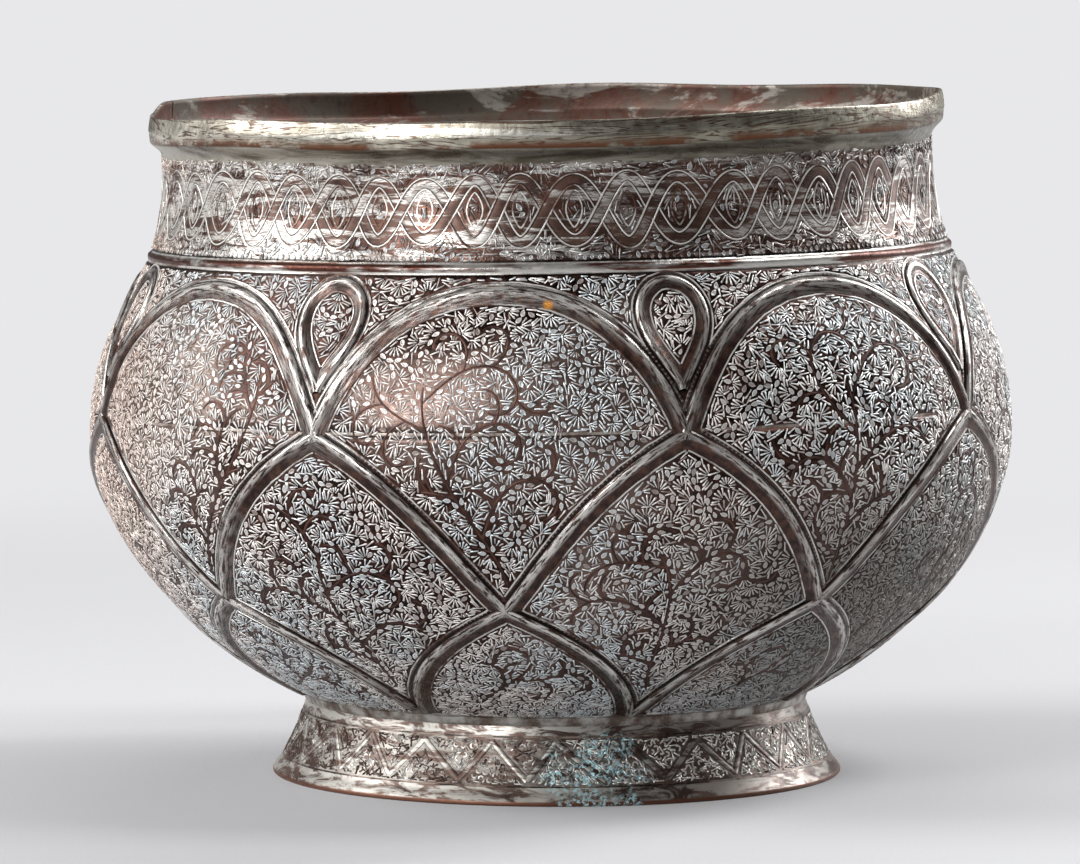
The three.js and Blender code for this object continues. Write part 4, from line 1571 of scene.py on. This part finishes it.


# Marks are tinned on top, a little darker in their sunk middle, and painted black where they meet the
# ground as shade round their feet
def markMaterial(name, onNeck=False):
    nodes = Nodes(name, 0.35)
    edge = nodes.attribute("edge")
    tone = nodes.attribute("tone")
    cloud = nodes.noise(20, 4, 0.6)
    bright = nodes.mix(nodes.between(cloud, 0.42, 0.6), tint(228, 222, 217), tint(206, 212, 214))
    dull = nodes.mix(nodes.between(nodes.noise(45, 4), 0.42, 0.6), tint(160, 154, 150), tint(112, 82, 70))
    top = nodes.mix(nodes.between(tone, 0.6, 1.0, 0, 0.85), bright, dull)
    if onNeck:
        top = nodes.mix(nodes.between(tone, 0.2, 0.7, 0.45, 1), top, neckTin(nodes))
    centre = nodes.mix(0.4, top, tint(92, 84, 82))
    colour = nodes.mix(nodes.between(edge, 0.74, 0.9), centre, top)
    # Painted shade: marks go dull olive towards the lower right
    colour = nodes.mix(paintedShadeLowerRight(nodes), colour, tint(88, 81, 70))
    # Painted sheen: marks at the far left go pale pink, where the key light reflects
    left = nodes.between(nodes.part("X"), -0.145, -0.105, 0.6, 0)
    colour = nodes.mix(left, colour, tint(172, 146, 130))
    # Painted shade: black round the foot of each mark
    colour = nodes.mix(nodes.between(edge, 0.4, 0.7), colours["black"], withVerdigris(nodes, colour))
    return nodes.finish(colour, nodes.between(cloud, 0.3, 0.7, 0.4, 0.3), nodes.noise(700), 0.3)


def stemMaterial():
    nodes = Nodes("smooth_copper_stems")
    grain = nodes.noise(180, 4, 0.6)
    colour = nodes.mix(nodes.between(grain, 0.35, 0.68), tint(46, 27, 22), tint(86, 56, 46))
    return nodes.finish(colour, nodes.between(grain, 0.3, 0.7, 0.3, 0.46), grain, 0.3)


# Straps keep the streaked surface of the neck between thin pale outlines
def strapMaterial():
    nodes = Nodes("strap_copper")
    across = nodes.calc("ABSOLUTE", nodes.attribute("across"))
    worn = nodes.between(nodes.noise(60, 5, 0.65), 0.36, 0.5)
    outline = nodes.mix(worn, tint(96, 66, 54), colours["paleTin"])
    colour = nodes.mix(nodes.between(across, 1.72, 1.85), neckTin(nodes), outline)
    colour = nodes.mix(nodes.stripe(across, (1.3, 1.45), (1.68, 1.8), 0.85), colour, colours["dark"])
    grain = nodes.noise(240, 4, 0.6)
    return nodes.finish(colour, nodes.between(grain, 0.3, 0.7, 0.34, 0.5), grain, 0.4)


# Worn tin of the foot, used by the strip and by the zigzag bands
def footTinColour(nodes):
    streak = nodes.noise(1, 7, 0.68, stretch=(64, 64, 260), warp=1.0)
    cloud = nodes.noise(30, 4, 0.6)
    bare = nodes.mix(nodes.between(cloud, 0.4, 0.6), tint(98, 79, 70), tint(62, 46, 40))
    worn = nodes.between(nodes.part("X"), 0.0, 0.07, 0.9, 0.45)
    return nodes.mix(nodes.times(nodes.between(streak, 0.44, 0.56), worn), bare, tint(180, 177, 170))


def zigzagMaterial():
    nodes = Nodes("zigzag_tin")
    across = nodes.calc("ABSOLUTE", nodes.attribute("across"))
    edge = nodes.between(across, 1.45, 1.5, 0, 0.2)
    colour = nodes.mix(edge, footTinColour(nodes), tint(176, 172, 166))
    # Painted shade: black along the groove beside each edge of the band, where engraved lines lie in
    # shade
    colour = nodes.mix(nodes.stripe(across, (0.86, 0.98), (1.5, 1.62)), colour, colours["black"])
    colour = withVerdigris(nodes, colour)
    grain = nodes.noise(260, 4, 0.6)
    return nodes.finish(colour, nodes.between(grain, 0.3, 0.7, 0.34, 0.5), grain, 0.4)


# Dark lines along the top and the bottom of the foot's band, painted dark as the shade in engraved
# grooves
def scoredMaterial():
    nodes = Nodes("foot_scored_lines")
    wear = nodes.noise(90, 5, 0.65)
    colour = nodes.mix(nodes.between(wear, 0.42, 0.6), tint(36, 25, 21), tint(126, 112, 102))
    return nodes.finish(colour, nodes.between(wear, 0.3, 0.7, 0.36, 0.5), wear, 0.3)


# Curls and strokes of the foot: brown in the thick tin of the left, pale where it is worn
def curlMaterial():
    nodes = Nodes("foot_curls_metal", 0.5)
    sideways = nodes.between(nodes.part("X"), -0.07, 0.05, -0.09, 0.08)
    wear = nodes.calc("ADD", nodes.noise(140, 5, 0.65), sideways)
    colour = nodes.mix(nodes.between(wear, 0.42, 0.56), tint(66, 48, 40), tint(190, 187, 181))
    colour = withVerdigris(nodes, colour)
    return nodes.finish(colour, nodes.between(wear, 0.3, 0.7, 0.46, 0.34), nodes.noise(600), 0.3)


def withVerdigris(nodes, colour):
    near = nodes.near("verdigris")
    specks = nodes.between(nodes.noise(700, 4, 0.7), 0.49, 0.55)
    blotch = nodes.calc("ADD", nodes.noise(110, 4, 0.6), nodes.times(near, 0.1))
    share = nodes.times(specks, nodes.between(blotch, 0.48, 0.62))
    share = nodes.times(share, nodes.between(near, 0, 0.4, 0, 0.95))
    return nodes.mix(share, colour, colours["green"])


def footMaterial():
    nodes = Nodes("worn_tin_foot")
    height = nodes.times(nodes.part("Z"), 1 / mm)
    grain = nodes.noise(260, 5, 0.6)
    tin = footTinColour(nodes)
    wall = nodes.mix(nodes.between(grain, 0.35, 0.68), tint(48, 34, 28), tint(98, 78, 68))
    wall = nodes.mix(nodes.between(nodes.part("X"), -0.07, 0.05, 0.7, 0.2), wall, tin)
    low, high = foot["zigLow"] / mm - 2.0, foot["zigHigh"] / mm + 1.9
    colour = nodes.mix(nodes.between(height, high, high + 0.5), wall, tin)
    colour = nodes.mix(nodes.between(height, low - 0.2, low + 0.2, 1, 0), colour, tin)
    colour = nodes.mix(nodes.between(height, 1.2, 1.9, 1, 0), colour, tint(92, 58, 42))
    colour = withVerdigris(nodes, colour)
    return nodes.finish(colour, nodes.between(grain, 0.3, 0.7, 0.34, 0.5), grain, 0.4)


def solderMaterial(name, first, second):
    nodes = Nodes(name, 0.7)
    cloud = nodes.noise(120, 5, 0.6)
    colour = nodes.mix(nodes.between(cloud, 0.36, 0.64), first, second)
    return nodes.finish(colour, nodes.between(cloud, 0.3, 0.7, 0.36, 0.54), nodes.noise(220, 4), 0.6)


ground = groundMaterial()
inside = innerMaterial()
ribCopper = ribMaterial("rib_copper", (-0.3, 2.1), (2.4, 2.95), 0.8)
tearCopper = ribMaterial("teardrop_copper", (-0.3, 1.7), (2.0, 2.45), 0.15)
tinLine = tinLineMaterial()
markTin = markMaterial("tin_in_chased_marks")
neckMarkTin = markMaterial("tin_in_neck_marks", True)
stemCopper = stemMaterial()
strapCopper = strapMaterial()
zigzagTin = zigzagMaterial()
scoredLine = scoredMaterial()
curlMetal = curlMaterial()
footTin = footMaterial()
brazeMetal = solderMaterial("old_hard_solder", tint(172, 163, 154), tint(82, 60, 50))
softSolder = solderMaterial("old_soft_solder", tint(176, 174, 168), tint(94, 78, 68))

finishPiece(upperSheet, [ground, inside], ["upper_body"])
finishPiece(lowerSheet, [ground, inside], ["lower_body"])
finishPiece(seamLine, brazeMetal, ["belly_braze"])
for piece in ribPieces[:3]:
    finishPiece(piece, ribCopper)
finishPiece(ribPieces[3], tearCopper)
finishPiece(edgePiece, tinLine)
finishPiece(stemPiece, stemCopper)
for piece in bellyMarks:
    finishPiece(piece, markTin)
for piece in neckMarks:
    finishPiece(piece, neckMarkTin)
finishPiece(neckStraps, strapCopper)
finishPiece(neckLeaves, tinLine)
finishPiece(footStrip, footTin, ["foot_ring"])
finishPiece(footSeam, brazeMetal, ["foot_seam_braze"])
finishPiece(solderBead, softSolder, ["foot_solder"])
finishPiece(footBands, zigzagTin)
finishPiece(footRings, scoredLine)
for piece in footMarks:
    finishPiece(piece, curlMetal)
print("pieces finished")

# Camera at the photograph's angle, aimed a little to the left of the bowl's middle
view = {
    "turn": math.radians(6.5),
    "distance": 2.24,
    "height": 0.296,
    "aim": 0.118,
    "left": 4 * mm,
    "lens": 214.9,
}


def aimed(name, data, place, target):
    piece = bpy.data.objects.new(name, data)
    bpy.context.scene.collection.objects.link(piece)
    ahead = [aim - start for aim, start in zip(target, place)]
    level = math.hypot(ahead[0], ahead[1])
    piece.location = place
    piece.rotation_euler = (math.atan2(level, -ahead[2]), 0, math.atan2(-ahead[0], ahead[1]))
    return piece


def placeCamera():
    cosine, sine = math.cos(view["turn"]), math.sin(view["turn"])
    data = bpy.data.cameras.new("camera")
    data.lens = view["lens"]
    data.sensor_width = 36
    place = (view["distance"] * sine, -view["distance"] * cosine, view["height"])
    target = (-view["left"] * cosine, -view["left"] * sine, view["aim"])
    bpy.context.scene.camera = aimed("camera", data, place, target)


placeCamera()

# Pale floor, which fades into an even pale backdrop away from the bowl
stage = {
    "radius": 6.0,
    "fadeStart": 0.35,
    "fadeEnd": 1.2,
    "pale": tint(232, 232, 234),
    "worldLight": 0.16,
    "lightAim": 0.12,
}


def floorMaterial():
    nodes = Nodes("pale_floor", 0.0)
    output = nodes.tree.nodes["Material Output"]
    speckle = nodes.noise(900, 2)
    colour = nodes.mix(nodes.between(speckle, 0.3, 0.7), tint(184, 184, 187), tint(190, 190, 192))
    nodes.finish(colour, nodes.between(speckle, 0.2, 0.8, 0.62, 0.7), speckle, 0.05, 0.0001)
    away = nodes.add("ShaderNodeVectorMath", operation="LENGTH")
    nodes.put(away.inputs[0], nodes.place)
    far = nodes.between(away.outputs["Value"], stage["fadeStart"], stage["fadeEnd"])
    rays = nodes.add("ShaderNodeLightPath").outputs
    seen = nodes.calc("MAXIMUM", rays["Is Camera Ray"], rays["Is Glossy Ray"])
    seen = nodes.calc("MAXIMUM", seen, rays["Is Transmission Ray"])
    glow = nodes.add("ShaderNodeEmission", {"Color": stage["pale"], "Strength": 1.0})
    blend = nodes.add("ShaderNodeMixShader")
    nodes.put(blend.inputs[0], nodes.times(far, seen))
    nodes.put(blend.inputs[1], nodes.shader.outputs["BSDF"])
    nodes.put(blend.inputs[2], glow.outputs["Emission"])
    nodes.put(output.inputs["Surface"], blend.outputs["Shader"])
    return nodes.material


def makeFloor():
    deselectAll()
    bpy.ops.mesh.primitive_circle_add(vertices=96, radius=stage["radius"], fill_type="NGON")
    floor = bpy.context.object
    floor.name = "floor"
    floor.data.materials.append(floorMaterial())


def makeWorld():
    world = bpy.data.worlds.new("studio")
    world.use_nodes = True
    tree = world.node_tree
    background = tree.nodes["Background"]
    rays = tree.nodes.new("ShaderNodeLightPath").outputs
    seen = tree.nodes.new("ShaderNodeMath")
    seen.operation = "MAXIMUM"
    tree.links.new(rays["Is Camera Ray"], seen.inputs[0])
    tree.links.new(rays["Is Transmission Ray"], seen.inputs[1])
    colour = tree.nodes.new("ShaderNodeMix")
    colour.data_type = "RGBA"
    grey = stage["worldLight"]
    colour.inputs[6].default_value = (grey, grey, grey * 1.02, 1)
    colour.inputs[7].default_value = stage["pale"]
    tree.links.new(seen.outputs[0], colour.inputs[0])
    tree.links.new(colour.outputs[2], background.inputs["Color"])
    bpy.context.scene.world = world


# Name, place, width, height and power of each soft light
lights = [
    ("key_light", (-1.62, -0.35, 1.0), 0.9, 1.4, 37),
    ("right_light", (1.2, 0.95, 0.85), 0.35, 1.1, 29),
    ("front_light", (-1.0, -1.8, 0.95), 0.8, 0.8, 32),
    ("top_right_light", (0.95, 0.1, 1.6), 0.5, 0.5, 11),
    ("back_light", (0.1, 1.2, 1.6), 1.4, 0.8, 8),
]


def makeLight(name, place, width, height, power):
    data = bpy.data.lights.new(name, "AREA")
    data.shape = "RECTANGLE"
    data.size = width
    data.size_y = height
    data.energy = power
    aimed(name, data, place, (0, 0, stage["lightAim"]))


makeFloor()
makeWorld()
for light in lights:
    makeLight(*light)
bpy.context.scene.view_settings.view_transform = "Standard"
print("stage set")
